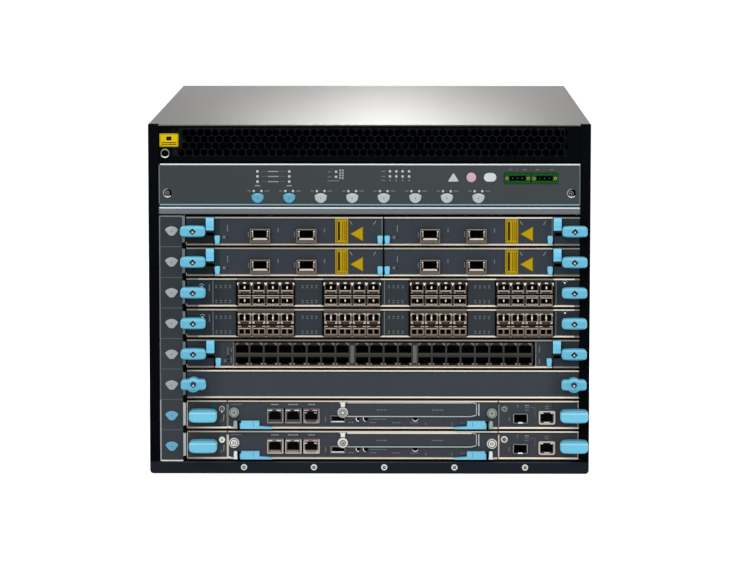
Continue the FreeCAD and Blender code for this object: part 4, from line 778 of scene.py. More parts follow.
for slot in (1, 2, 5, 7, 8):
    card = SLOT_NODES[slot - 1]
    seams = Shape(f"{card}_seams", card, "hole_black deep_green rust_dark").at(y=RIM, z=SLOT_BASE[slot])
    if slot < 6:
        for left, right in ((-156.5, -155.6), (184.2, 184.9)) + (((13.65, 14.95),) if slot < 3 else ()):
            seams.block(left, right, 0.3, -0.12, 1.0, 30.0)
    else:
        seams.blocks((-144.0, -142.6, 0.3, -0.12, 26.4, 30.1, 2), (-143.2, -142.3, 0.3, -0.12, 0.9, 2.8),
                     (129.35, 130.5, 0.3, -0.12, 1.0, 2.8), (129.35, 130.5, 0.3, -0.12, 28.2, 30.0))
        left, low = (-159.4, 23.4) if slot == 7 else (-168.5, 24.6)
        seams.block(left, left + 5.6, 1.05, 0.9, low, 28.3, 1)
    seams.make()

# Relay terminals: screws at both ends and pins in each socket

pins = Shape("relay_pins", "chassis", "gold hole_black screw_dim")
terminal_low, terminal_high = corners("relay_terminals")
for left in (terminal_low.x, terminal_low.x + 27.0):
    pins.at(left, terminal_low.y, (terminal_low.z + terminal_high.z) / 2)
    for x in (2.3, 23.7):
        pins.turned(x, -0.3, [(1.4, 0.3), (1.4, -0.2), (1.1, -0.3), (1.0, 0.1), (0, 0.1)], (0, 0, 1, 1), 14)
    for x in (8.2, 13.0, 17.8):
        pins.block(x - 0.3, x + 0.3, 8.8, 4.0, -0.9, 0.2, 2)
pins.make()

# Port modules: collars, lips, labels, pull tabs and printed marks


def pull_tabs(body, base, *places):
    """Small grips that narrow downwards, with a lighter top and a dark foot."""
    tabs = Shape(f"{body}_tabs", body, "handle_plain handle_light handle_dark", "handle_blue")
    for x in places:
        tabs.at(x, FACE, base + 2.8)
        tabs.slab([(0.7, 0), (4.6, 0), (5.3, 5.22), (5.3, 7.9), (4.5, 8.7), (0.8, 8.7), (0, 7.9),
                   (0, 5.22)],
                  0.1, -3.4, 0, 0.5)
        tabs.slab(rounded(0.6, 4.7, 6.1, 8.2, 0.5), -3.0, -3.7, 1, 0.25)
        tabs.block(1.0, 4.3, -3.0, -3.5, 0.1, 0.6, 2)
    tabs.make()


def cage_front(shape):
    """Collar, bright lower lip and inner walls of a large optics cage, painted highlights at its upper
    inner corners and painted shade at its back.
    """
    shape.collar(rounded(-9.9, 9.9, 0, 13.8, 0.9), rounded(-8.8, 8.8, 2.6, 12.6, 0.4),
                 0.6, -0.4, 0, 0.4, 1, 5)
    shape.slab([(-8.0, 2.7), (8.0, 2.7), (6.7, 4.9), (-6.7, 4.9)], 1.4, -0.1, 2, 0.25, 6)
    for side in (-1, 1):
        wall = [(side * 8.7, 4.6), (side * 6.7, 5.2), (side * 6.7, 12.3), (side * 8.7, 12.6)]
        shape.slab(wall[::side], 1.6, 0.5, 1)
        # Painted highlights at the upper inner corners.
        shape.slab(rounded(side * 7.6 - 0.7, side * 7.6 + 0.7, 10.5, 12.1, 0.5, 2), 0.6, -0.1, 3, 0.2)
        shape.block(side * 7.4 - 0.5, side * 7.4 + 0.5, 0.6, 0.1, 5.8, 10.2, 5)
    # Painted shade at the back of the cage.
    shape.block(-5.2, 5.2, 9, 8, 3.0, 12.3, 4)


for number in range(1, 5):
    body = f"port_module_{number}"
    left, right = (corner.x for corner in corners(body))
    upper_slot = number < 3
    base = SLOT_BASE[1 if upper_slot else 2]
    cages = Shape(f"{body}_cages", body,
                  "brown_metal dark_metal lip_metal bright hole_black warm_metal grey_metal")
    for place in CAGE_PLACES:
        cage_front(cages.at(left + place, FRONT - 4.0, base + 4.5))
    cages.make()
    signs = Shape(f"{body}_labels", body,
                  "label_yellow print_dark print_dim print_light hole_black label_edge")
    signs.at(left, FACE, base)
    low = 3.3 if upper_slot else 3.6
    high, tip = low + 25.4, low + 1.6
    signs.slab(rounded(121.3, 134.1, low, high, 0.7), 0.02, -1.15, 0, 0.05)
    signs.collar(rounded(122.2, 133.2, low + 0.9, high - 0.9, 0.6),
                 rounded(122.8, 132.6, low + 1.5, high - 1.5, 0.5),
                 -1.1, -1.2, 5)
    column(signs, 124.9, low + 3.2, high - 3.0, 5, 2.6, -1.1)
    column(signs, 124.9, low + 4.0, high - 4.0, 1, 1.2, -1.14)
    for x in (128.5, 130.2, 131.9):
        column(signs, x, low + 3.0, high - 2.8, 5, 0.7, -1.1)
    triangle = [(135.3, tip + 8.2), (149.5, tip), (149.5, tip + 16.4)]
    signs.slab(triangle, 0.02, -0.2, 5)
    signs.slab(inset(triangle, 0.8), -0.1, -0.3, 0)
    for x, start, end in ((13.0, 15.2, 21.8), (34.0, 9.6, 14.8), (63.8, 14.5, 18.5), (80.4, 10.0, 15.5),
                          (110.4, 14.5, 18.5)):
        column(signs, x, start, end, 2, 1.0)
    signs.collar(circle(9.6, 9.6, 1.3, 14), circle(9.6, 9.6, 0.8, 14), 0.02, -0.08, 3)
    signs.slab(circle(12.7, 9.4, 0.7, 10), 0.02, -0.1, 4)
    for x, lean in ((137.0, -1), (160.8, 1)):
        signs.slab([(x - 1.6 * lean, 22.4), (x - 0.8 * lean, 22.4), (x + 1.4 * lean, 26.2),
                    (x + 1.0 * lean, 26.4)][::lean],
                   0.02, -0.08, 3)
    if upper_slot:
        signs.block(right - left - 1.1, right - left - 0.6, 0.02, -0.12, 3.2, 27.8, 3)
    signs.make()
    pull_tabs(body, base, left + 0.1, right - 5.4)

# Optics of the fixed cards: eight plugged transceivers over eight in each of four groups

WHITE, LIGHT, FRAME, SIDE, BROWN, BLACK = range(6)
COLUMN_MIDDLE = 7.1
ARCH = [(-3.9, 0), (-3.1, -1.5), (-1.7, -2.4), (1.7, -2.4), (3.1, -1.5), (3.9, 0)]


def mirrored(shape, points, back, front, kind, bevel=0.0):
    """A slab at the left of a column, and its mirror at the right."""
    shape.slab([(COLUMN_MIDDLE + a, z) for a, z in points], back, front, kind, bevel)
    shape.slab([(COLUMN_MIDDLE - a, z) for a, z in reversed(points)], back, front, kind, bevel)


def arch(shape, top):
    """The bulge of a transceiver's latch below its bores."""
    shape.slab([(COLUMN_MIDDLE + a, top + b) for a, b in ARCH], 0.3, -0.4, BROWN, 0.15)


def optic_bright(shape):
    """A column of the upper card: white corners and bar, a thin dark frame, crossing lines below."""
    for low, high in ((18.2, 25.6), (5.0, 12.6)):
        mirrored(shape, rect(-6.7, -5.3, low, high), 0.2, -0.5, SIDE, 0.1)
    shape.blocks((1.8, 12.4, 0.2, -0.4, 24.3, 25.6, BROWN), (5.6, 8.7, 0, -1.2, 25.0, 26.2, WHITE, 0.15),
                 (6.8, 7.5, 0.3, -0.3, 18.2, 24.3, BROWN), (3.2, 11.0, 0.2, -0.3, 11.3, 12.3, BROWN),
                 (1.2, 13.0, 0.2, -0.7, 10.2, 11.1, LIGHT, 0.15), (6.8, 7.5, 0.3, -0.3, 5.2, 10.2, BROWN),
                 (0.7, 13.5, 0.2, -0.2, 1.9, 5.0, SIDE))
    shape.slab(rounded(6.4, 7.9, 19.7, 22.2, 0.6), 0.2, -1.3, WHITE, 0.2)
    shape.slab(rounded(6.5, 7.8, 6.7, 9.0, 0.55), 0.2, -1.2, WHITE, 0.2)
    mirrored(shape, [(-7.4, 25.9), (-7.2, 23.2), (-6.7, 22.9), (-6.2, 24.4), (-5.3, 25.9)],
             0, -1.2, WHITE, 0.15)
    shape.slab([(1.4, 17.1), (12.8, 17.1), (13.4, 18.2), (0.8, 18.2)], 0.2, -0.8, LIGHT, 0.15)
    mirrored(shape, [(-6.5, 15.2), (-4.0, 14.9), (-4.4, 16.8), (-6.2, 16.8)], 0.2, -0.5, FRAME, 0.15)
    arch(shape, 16.8)
    shape.slab([(0.5, 12.4), (13.7, 12.4), (13.9, 13.1), (0.3, 13.1)], 0.2, -0.6, LIGHT, 0.1)
    mirrored(shape, rect(-6.4, -4.1, 11.2, 12.3), 0.2, -0.4, FRAME)
    for heights, lift in (((4.7, 2.5, 4.1, 2.5, 4.7), 0.45), ((2.3, 4.5, 2.7, 4.5, 2.3), 0.6)):
        line = list(zip((0.7, 3.5, 7.1, 10.7, 13.5), heights))
        for (x0, z0), (x1, z1) in zip(line, line[1:]):
            shape.slab([(x0, z0 - 0.35), (x1, z1 - 0.35), (x1, z1 + 0.35), (x0, z0 + 0.35)],
                       0, -lift, LIGHT)


def optic_plain(shape):
    """A column of the lower card: pale frames round all bores, brighter at their upper corners."""
    shape.blocks((1.8, 12.4, 0.2, -0.6, 24.8, 25.8, FRAME, 0.15),
                 (6.4, 7.8, 0.3, -0.7, 18.1, 25.2, LIGHT, 0.2),
                 (1.8, 12.4, 0.2, -0.6, 17.4, 18.2, FRAME, 0.1), (3.0, 11.2, 0.2, -0.3, 10.9, 12.0, BROWN),
                 (1.6, 12.6, 0.2, -0.7, 9.9, 10.8, LIGHT, 0.1),
                 (6.3, 7.9, 0.3, -0.6, 4.8, 10.0, FRAME, 0.2),
                 (1.6, 12.6, 0.2, -0.6, 3.4, 5.0, FRAME, 0.2), (0.8, 13.4, 0.2, -0.4, 1.9, 3.4, SIDE, 0.2))
    mirrored(shape, rect(-6.7, -5.2, 15.4, 25.8), 0.2, -0.6, FRAME, 0.15)
    mirrored(shape, [(-6.8, 23.2), (-5.6, 23.6), (-5.2, 24.6), (-3.4, 25.0), (-3.6, 26.0), (-6.2, 26.0),
                     (-6.8, 25.5)],
             0, -0.9, LIGHT, 0.15)
    shape.slab(rounded(6.3, 7.9, 20.2, 22.5, 0.7), 0, -1.3, WHITE, 0.2)
    mirrored(shape, [(-6.5, 15.4), (-4.2, 15.1), (-4.4, 17.5), (-6.5, 17.9)], 0, -0.8, LIGHT, 0.15)
    arch(shape, 17.1)
    mirrored(shape, [(-6.8, 3.6), (-5.4, 3.6), (-5.4, 12.6), (-6.8, 13.2)], 0.2, -0.6, FRAME, 0.15)
    mirrored(shape, [(-6.9, 13.2), (-5.6, 12.2), (-3.0, 12.1), (-3.6, 13.0)], 0, -0.8, LIGHT, 0.1)


SMALL_SCREWS = {3: ((-168.7, 21.6), (196.2, 25.8)), 4: ((-167.9, 21.8), (196.7, 26.3))}

for slot, draw in ((3, optic_bright), (4, optic_plain)):
    body = f"line_card_{slot}"
    base = SLOT_BASE[slot]
    optics = Shape(f"{body}_optics", body,
                   "bright optic_light optic_frame optic_side optic_brown hole_black")
    signs = Shape(f"{body}_marks", body, "print_dim line_mid shield_blue bright").at(y=FACE, z=base)
    for start in OPTIC_STARTS:
        for index in range(4):
            optics.at(start + OPTIC_PITCH * index, FACE - 1.4, base)
            draw(optics)
            optics.block(-0.35, 0.3, 0.1, -0.1, 3.4, 26.8, BLACK)
            x = start - 21.4 + 4.6 * index
            for z in (22.6, 20.6, 7.6, 5.6):
                words(signs, x - 0.9, x + 0.9, z, 0, 0.9)
        optics.at(start, FACE - 1.4, base)
        optics.blocks((-0.3, 56.9, 0.1, -0.15, 13.5, 14.5, BLACK),
                      (-1.7, -0.3, 1.5, -0.12, 2.6, 27.6, BLACK),
                      (56.8, 57.9, 1.5, -0.12, 2.6, 27.6, BLACK))
        if slot == 4:
            optics.block(-0.2, 56.8, 0.2, -0.2, 26.6, 28.2, SIDE)
    optics.make()
    for x, kind in ((-157.4, 0), (15.1, 1), (187.6, 0)):
        signs.block(x - 0.35, x + 0.35, 0.02, -0.1, 3.0, 28.0, kind)
    for x, z in SMALL_SCREWS[slot]:
        crescent(signs, x, z, 3.0, 2.3, 90, 80, 0, -0.5, 2)
        signs.slab(circle(x, z, 0.9, 12), 0, -0.6, 3)
    column(signs, -161.0, 17.0, 24.0)
    signs.make()

# Forty copper jacks: wedges at the outer edges, middle bar, ribs and contacts

JACK_PITCH = 14.45
GROUP_GAP = 5.2
base = SLOT_BASE[5]
module_low, module_high = corners("port_module_5")
jack_left = (module_low.x + module_high.x) / 2 - JACK_PITCH * 10 - GROUP_GAP + 1.025
places = [jack_left + JACK_PITCH * index + GROUP_GAP * ((index > 7) + (index > 11)) for index in range(20)]
block_left, block_right = places[0] - 2.2, places[-1] + 14.0
jacks = Shape("port_module_5_jacks", "port_module_5",
              "jack_rib jack_bar hole_black contact_dark jack_wedge jack_band jack_post")
jacks.at(y=module_low.y, z=base)
jacks.blocks((block_left, block_right, 0.2, -0.2, 26.8, 28.3, 2),
             (block_left, block_right, 0.2, -0.2, 3.0, 4.4, 5),
             (block_left, block_right, 0.2, -0.3, 15.3, 16.6, 1, 0.15),
             (block_left, block_right, 0.2, -0.25, 13.9, 15.2))
for post in (places[8] - 3.625, places[12] - 3.625):
    jacks.block(post - 1.7, post + 1.7, 0.2, -0.45, 3.4, 26.8, 6, 0.15)
    for row in range(11):
        for left, right in ((post - 0.9, post - 0.2), (post + 0.3, post + 1.0)):
            jacks.block(left, right, -0.4, -0.5, 5.0 + 2 * row, 5.9 + 2 * row)
for x in places + [places[-1] + JACK_PITCH, places[8] - GROUP_GAP, places[12] - GROUP_GAP]:
    middle = x - 1.05
    jacks.block(middle - 0.85, middle + 0.85, 0.1, -0.35, 6.0, 24.6, 0, 0.2)
    for way in (-1, 1):
        for outline in ([(0.9, 26.6), (0.9, 24.6), (2.2, 24.3), (4.2, 26.6)],
                        [(0.8, 3.9), (1.8, 3.9), (3.0, 6.2), (0.8, 6.2)]):
            points = [(min(max(middle + way * a, block_left), block_right), z) for a, z in outline]
            jacks.slab(points, 0.3, -0.45, 4, 0.2)
        jacks.block(middle + way * 2.3 - 0.25, middle + way * 2.3 + 0.25, -0.3, -0.55, 24.2, 26.2)
for x in places:
    for low in (23.4, 4.9):
        for pin in range(8):
            jacks.block(x + 2.6 + 0.97 * pin, x + 3.0 + 0.97 * pin, 9.0, 3.0, low, low + 0.4, 3)
jacks.make()
signs = Shape("port_module_5_marks", "port_module_5",
              "print_dim print_light line_mid hole_black").at(y=FACE, z=base)
for x, way in ((-137.0, -1), (places[-1] + 17.0, 1)):
    signs.block(x - 0.5, x + 0.5, 0.02, -0.2, 2.4, 27.6, 2)
    signs.slab([(x - 1.2, 2.2), (x + 1.2, 2.2), (x + 0.4, 5.0), (x - 0.4, 5.0)], 0.02, -0.25, 1)
    left, right = sorted((x - way * 0.5, x - way * 2.2))
    signs.block(left, right, 0.02, -0.1, 3.2, 28.0, 3)
for x, low, high in ((-142.6, 14.4, 22.2), (-139.1, 17.4, 21.4), (-139.1, 6.4, 12.4),
                     (places[-1] + 20.5, 5.0, 10.6),
                     (places[-1] + 20.5, 17.0, 23.6)):
    column(signs, x, low, high)
for z in (12.4, 8.4):
    signs.slab(circle(-142.5, z, 0.9, 12), 0.02, -0.12, 3)
signs.collar(circle(-145.4, 8.4, 1.3, 14), circle(-145.4, 8.4, 0.9, 14), 0.02, -0.08, 1)
signs.make()
pull_tabs("port_module_5", base, module_low.x + 0.6, module_high.x - 5.7)

# Control modules and fabric cards


def copper_jack(shape, keyed):
    """Thin metal frame of a single jack, with lamp windows, side springs and a stepped opening."""
    shape.blocks((-8.2, 8.2, 0, -1.2, 14.3, 15.0, 3), (-8.2, -7.3, 0, -1.4, 0.4, 12.4, 0, 0.15),
                 (7.0, 8.2, 0, -1.4, 0.4, 14.6, 0, 0.15), (-7.8, 7.6, 0, -1.4, 0, 1.1, 0, 0.2),
                 (-7.4, 7.1, -0.3, -0.55, 1.0, 14.4, 2))
    shape.slab([(-5.8, 1.3), (5.2, 1.3), (4.0, 2.5), (-4.6, 2.5)], -0.5, -0.9, 1, 0.15)
    for x in (-7.9, 1.0):
        shape.slab(rounded(x, x + 5.0, 12.7, 13.8, 0.4, 2), -0.5, -1.3, 5 if keyed else 4, 0.15)
    for x, way in ((-7.1, 1), (6.5, -1)):
        for z in (4.2, 7.8):
            shape.slab([(x, z - 1.4), (x + 0.9 * way, z - 0.6), (x + 0.9 * way, z + 0.6),
                        (x, z + 1.4)][::way],
                       -0.5, -1.1, 6)
        if keyed:
            shape.slab([(x, 1.2), (x + 2.6 * way, 1.2), (x, 4.6)][::way], -0.7, -1.2, 0)
    if keyed:
        shape.blocks((-7.3, -4.5, -0.5, -1.1, 10.1, 11.4, 0, 0.1),
                     (2.6, 5.4, -0.5, -1.1, 10.1, 11.4, 0, 0.1))
    else:
        for x, way in ((-7.3, 1), (6.9, -1)):
            shape.slab([(x, 10.0), (x + 1.2 * way, 10.0), (x + 3.4 * way, 12.4), (x, 12.4)][::way],
                       -0.5, -1.0, 6)


# Kinds of the screws' finishes
GREY, DIM, DARK, PALE = range(4)


def captive_screw(shape, number):
    """A broad screw head of rings: soft grey on one module, a white dial with a dark cross on the other."""
    radius, top = 5.2, -2.8
    kinds = (DIM, GREY, GREY, DIM, DIM, GREY, GREY, DIM, DIM)
    if number == 2:
        kinds = (GREY, PALE, PALE, DARK, DARK, PALE, PALE, PALE, PALE)
    shape.turned(0, 0, [(radius, 0), (radius, -2.2), (radius - 0.5, top), (radius * 0.8, top),
                        (radius * 0.76, top + 0.5),
                        (radius * 0.66, top + 0.5), (radius * 0.62, top - 0.1), (radius * 0.3, top - 0.1),
                        (radius * 0.26, top + 0.2), (0, top + 0.2)], kinds, 36)
    dot, kind = (0.7, DARK) if number == 2 else (0.45, DIM)
    for a, b in ((-1.0, -0.9), (1.0, -0.9), (-1.0, 0.9), (1.0, 0.9)):
        shape.slab(circle(a, b, dot, 8), top + 0.3, top - 0.25, kind)


def drive_screw(shape, number):
    """Fluted thumb screw with a stem that reaches up to the rim."""
    top = -3.2
    shape.slab([(-2.3, 5.6), (2.3, 5.6), (2.1, 8.0), (3.3, 10.4), (-3.3, 10.4), (-2.1, 8.0)],
               0, -1.2, PALE, 0.3)
    shape.block(-2.6, 2.6, 0, -1.0, 4.4, 5.7, DARK)
    fluted = []
    for i in range(24):
        reach = 5.5 if i % 2 else 4.9
        fluted.append((math.cos(math.pi * i / 12) * reach, math.sin(math.pi * i / 12) * reach))
    # The head's bevelled edge is pale on both modules: a painted highlight.
    shape.slab(fluted, 0, top, PALE if number == 2 else GREY, 0.7, PALE)
    if number == 1:
        for turn in range(8):
            spoke = spun([(2.3, -0.3), (4.3, -0.5), (4.3, 0.5), (2.3, 0.3)], 45 * (turn + 0.5))
            shape.slab(spoke, top + 0.2, top - 0.15, DIM)
        shape.turned(0, 0, [(1.9, top), (1.9, top - 0.4), (1.2, top - 0.5), (0, top - 0.5)],
                     (DIM, DIM, PALE), 16)
    else:
        shape.turned(0, 0, [(3.4, top + 0.2), (3.4, top - 0.12), (2.6, top - 0.12), (2.5, top - 0.3),
                            (0, top - 0.3)],
                     (DIM, DIM, GREY, GREY), 22)
        shape.slab(circle(0.3, -0.2, 0.7, 10), top, top - 0.4, DARK)


def control_ports(body, left, base, number):
    """Three jacks and a data port."""
    metals = "frame_beige warm_metal" if number == 2 else "grey_metal brown_metal"
    ports = Shape(f"{body}_ports", body,
                  f"{metals} hole_black line_mid lamp_window lamp_window_pink optic_side")
    for index in range(3):
        copper_jack(ports.at(left + 47.6 + 18.3 * index, FACE, base + 6.8), index == 2)
    ports.at(left + 110.6, FACE, base)
    ports.collar(rounded(-7.6, 7.6, 7.2, 15.0, 0.7), rounded(-7.0, 7.0, 7.8, 14.4, 0.4), 0, -1.1, 3, 0.2, 2)
    ports.slab([(-6.7, 7.9), (6.7, 7.9), (6.1, 9.2), (-6.1, 9.2)], -0.2, -1.0, 4, 0.2)
    ports.block(-6.9, 6.9, -0.2, -0.55, 9.2, 14.3, 2)
    ports.make()


def control_lines(body, left, right, base, number, skin):
    """Bare edges of the module and of the drive cover, small holes and printed marks."""
    wide = right - left
    end = wide - 20.8
    lines = Shape(f"{body}_lines", body,
                  "line_light print_dim hole_black print_light frame_beige line_mid bright")
    lines.at(left, FACE, base)
    side_kind, rim_kind = (4, 6) if number == 2 else (5, 0)
    for x0, x1 in ((-1.6, 0.7), (wide + 0.5, wide + 2.0)):
        lines.slab([(x0 + 0.1, 3.0), (x1 - 0.1, 3.0), (x1, 26.2), (x0, 26.2)], 0.3, -1.15, side_kind, 0.1)
    lines.slab([(-1.5, 2.4), (3.6, 2.4), (2.6, 3.8), (-1.3, 3.9)], 0.3, -1.2, 6, 0.1)
    lines.blocks((120.4, end - 6.0, 0, skin - 0.2, 13.4, 14.5, 0, 0.1),
                 (120.4, end - 5.2, 0, skin - 0.2, 27.3, 28.6, rim_kind, 0.1),
                 (end - 0.8, end + 0.1, 0, skin - 0.2, 15.1, 27.0),
                 (end + 0.1, end + 1.2, 0.1, -0.1, 14.3, 27.4, 2),
                 (130.6, 132.0, 0.02, -0.15, 8.6, 9.6, 6))
    lines.slab([(end - 6.2, 13.4), (end, 15.0), (end, 16.0), (end - 6.2, 14.5)], 0, skin - 0.2, 0)
    lines.slab(rounded(end + 1.2, end + 2.6, 14.5, 27.2, 0.6), 0, skin - 0.1, 0, 0.1)
    lines.slab([(end - 5.4, 28.0), (end - 0.2, 26.4), (end - 0.2, 27.2), (end - 4.4, 28.6)],
               0, skin - 0.2, 4)
    words(lines, 3.0, 14.0, 26.0, 1, 0.9, 4)
    words(lines, 149.6, 161.0, 20.6, 1, 1.0, 3, skin)
    words(lines, 205.8, 217.9, 20.6, 1, 1.0, 3, skin)
    for x, length in ((43.3, 8.0), (60.5, 10.8), (80.7, 7.2)):
        words(lines, x, x + length, 25.9, 3, 1.1, 3)
    column(lines, 98.4, 8.0, 13.4, 1)
    for x, z, radius, outer, inner, middle, spread in ((131.4, 11.5, 1.8, 2.6, 1.8, 200, 75),
                                                       (139.1, 11.5, 2.2, 3.0, 2.2, 200, 75),
                                                       (188.9, 11.8, 2.3, 3.0, 2.2, 270, 85)):
        lines.slab(circle(x, z, radius, 20), 0.02, -0.12, 2)
        crescent(lines, x, z, outer, inner, middle, spread, 0, -0.25, 6)
    for x in (200.9, 227.2):
        crescent(lines, x, 6.4, 1.9, 1.2, 180, 70, 0, -0.1, 5)
    for x, length, z in ((121.0, 6.6, 7.8), (143.2, 17.2, 11.0), (143.2, 7.1, 7.6), (165.4, 9.1, 7.5),
                         (183.6, 9.1, 7.4),
                         (234.6, 5.5, 7.3)):
        words(lines, x, x + length, z, 1, 0.9, max(2, int(length / 2.4)))
    lines.make()


def fabric_ports(card, base, number):
    """The card's own optics cage, an eight-sided pale jack frame and small screws."""
    ports = Shape(f"{card}_ports", card,
                  "frame_beige hole_black line_mid lamp_window optic_side lip_metal screw_grey bright")
    ports.at(152.4, FACE, base)
    ports.collar(rounded(-7.4, 7.4, 6.9, 17.1, 0.8), rounded(-6.6, 6.6, 7.9, 16.3, 0.4), 0, -1.9, 2, 0.3, 1)
    ports.slab([(-2.7, 7.0), (2.7, 7.0), (2.0, 8.6), (-2.0, 8.6)], -1.5, -2.4, 7, 0.2)
    for z in (9.4, 11.4, 13.4, 15.2):
        for x in (-7.1, 7.1):
            ports.block(x - 0.3, x + 0.3, -1.5, -2.0, z - 0.5, z + 0.3, 5)
    ports.at(179.2, FACE, base + 5.8)
    outer = [(-8.4, 1.6), (-7.0, 0), (7.0, 0), (8.4, 1.6), (8.4, 12.8), (7.4, 14.0), (-7.4, 14.0),
             (-8.4, 12.8)]
    inner = [(-6.9, 2.6), (-5.8, 1.6), (5.6, 1.6), (6.7, 2.6), (6.7, 12.1), (6.3, 12.7), (-6.5, 12.7),
             (-6.9, 12.1)]
    ports.collar(outer, inner, 0, -1.4, 0, 0.4, 4)
    ports.blocks((-6.7, 6.6, -0.3, -0.6, 1.7, 12.6, 1), (-6.6, -3.8, -0.5, -1.2, 11.1, 12.5, 3, 0.15),
                 (3.6, 6.4, -0.5, -1.2, 11.1, 12.5, 3, 0.15))
    ports.slab([(-3.6, 1.6), (3.4, 1.6), (2.4, 2.9), (-2.6, 2.9)], -0.5, -1.1, 5, 0.15)
    ports.at(136.2, FACE, base + 21.6)
    ports.collar(circle(0, 0, 3.4, 24), circle(0, 0, 2.3, 24), 0, -1.2, 7 if number == 2 else 2, 0.4, 1)
    screw_head(ports, 0, 0, 0, 2.3, 6, 1, 1.0, 20, 0.6)
    if number == 1:
        ports.at(-148.8, FACE, base + 21.4)
        screw_head(ports, 0, 0, 0, 3.1, 6, 1, 0.9, 20, 0.62)
        ports.slab([(-1.1, -3.6), (0.7, -3.6), (-0.2, -1.2)], 0, -0.8, 7)
    else:
        screw_head(ports.at(-148.9, FACE, base + 20.9), 0, 0, 0, 3.3, 7, 1, 1.4, 24, 0.3)
    ports.make()


def fabric_marks(card, base):
    """Printed marks and bare side edges of a fabric card."""
    low, high = corners(card)
    signs = Shape(f"{card}_marks", card, "print_light print_dim frame_beige").at(y=FACE, z=base)
    signs.slab([(-147.6, 8.6), (-147.0, 8.8), (-146.4, 15.6), (-147.2, 15.4)], 0.02, -0.1, 0)
    signs.slab([(-150.6, 7.4), (-149.9, 7.2), (-149.2, 10.6), (-149.9, 10.8)], 0.02, -0.1, 1)
    for x, start, end, thick in ((149.6, 23.2, 26.2, 1.0), (167.0, 14.0, 23.0, 0.3),
                                 (141.2, 9.4, 13.5, 1.0)):
        column(signs, x, start, end, 1, thick)
    for start, end, z, kind in ((157.0, 161.2, 25.2, 0), (157.0, 161.2, 23.0, 1), (157.0, 161.2, 20.6, 1),
                                (177.1, 181.2, 24.5, 1), (177.1, 181.2, 22.4, 1)):
        words(signs, start, end, z, kind, 1.0, 2)
    words(signs, 161.6, 167.0, 23.0, 1, 0.3)
    for x in (low.x + 0.5, high.x - 0.6):
        signs.block(x - 0.35, x + 0.35, 0.3, -0.3, 3.0, 28.4, 2, 0.1)
    signs.make()


for number in (1, 2):
    body = f"control_module_{number}"
    base = SLOT_BASE[number + 6]
    module_low, module_high = corners(body)
    left, right = module_low.x, module_high.x
    control_ports(body, left, base, number)
    screws = Shape(f"{body}_screws", body, "screw_grey screw_dim dark_metal bright")
    captive_screw(screws.at(left + 6.0, FACE, base + 17.9), number)
    captive_screw(screws.at(right - 5.6, FACE, base + 17.3), number)
    drive_screw(screws.at(left + 115.8, FACE, base + 18.0), number)
    screws.make()
    for side, pivot, cover, inner in (("left", left + 7.6, (2.1, 4.3), 18.2),
                                      ("right", right - 6.8, (-4.4, -2.3), -18.6)):
        lever = f"control_lever_{number}_{side}"
        metal = "bright" if number == 2 else "screw_grey"
        tab = Shape(f"{lever}_pivot", lever, f"{metal} hole_black handle_dark")
        tab.at(pivot, corners(lever)[0].y, base)
        tab.slab([(-2.3, 2.0), (2.3, 2.0), (1.7, 3.6), (1.6, 9.6), (1.2, 10.2), (-1.2, 10.2), (-1.6, 9.6),
                  (-1.7, 3.6)],
                 2.0, -0.35, 0, 0.3)
        tab.block(*cover, 1.5, -0.25, 1.2, 9.6, 1)
        tab.block(inner - 0.2, inner + 0.2, 0.5, -0.1, 4.0, 9.0, 2)
        tab.make()
    control_lines(body, left, right, base, number, module_low.y - 0.02 - FACE)
    fabric_ports(f"fabric_card_{number}", base, number)
    fabric_marks(f"fabric_card_{number}", base)

# Wing knobs: a screw at the bottom of each recess, the recess lined in painted shade and the screw's bright
# head partly a painted highlight

RECESS = [(-3.5, 0), (0, -3.2), (3.5, 0), (0, 3.2)]
for name in sorted(nodes):
    if "knob" not in name or name.startswith("fabric"):
        continue
    low, high = corners(name)
    blank = name.startswith("blank")
    floor_y = 2.3 if blank else 2.0
    screw = Shape(f"{name}_screw", name, "recess_blue bright screw_dim")
    screw.at((low.x + high.x) / 2, low.y, (low.z + high.z) / 2)
    if blank:
        screw.turned(0, 0, [(2.8, floor_y), (2.8, floor_y - 0.2), (0, floor_y - 0.2)])
    else:
        screw.slab(RECESS, floor_y, floor_y - 0.2)
        screw.collar(RECESS, inset(RECESS, 0.4), floor_y, 0.15)
    screw.turned(0, -0.6, [(1.15, floor_y - 0.1), (1.1, floor_y - 0.9), (0.7, floor_y - 1.3),
                           (0, floor_y - 1.3)], 1, 14)
    screw.block(-1.1, 1.1, floor_y - 0.9, floor_y - 1.35, -0.2, 0.1, 2)
    screw.make()

# Rear: inlet pins, finger screws, supply grilles, fan hubs

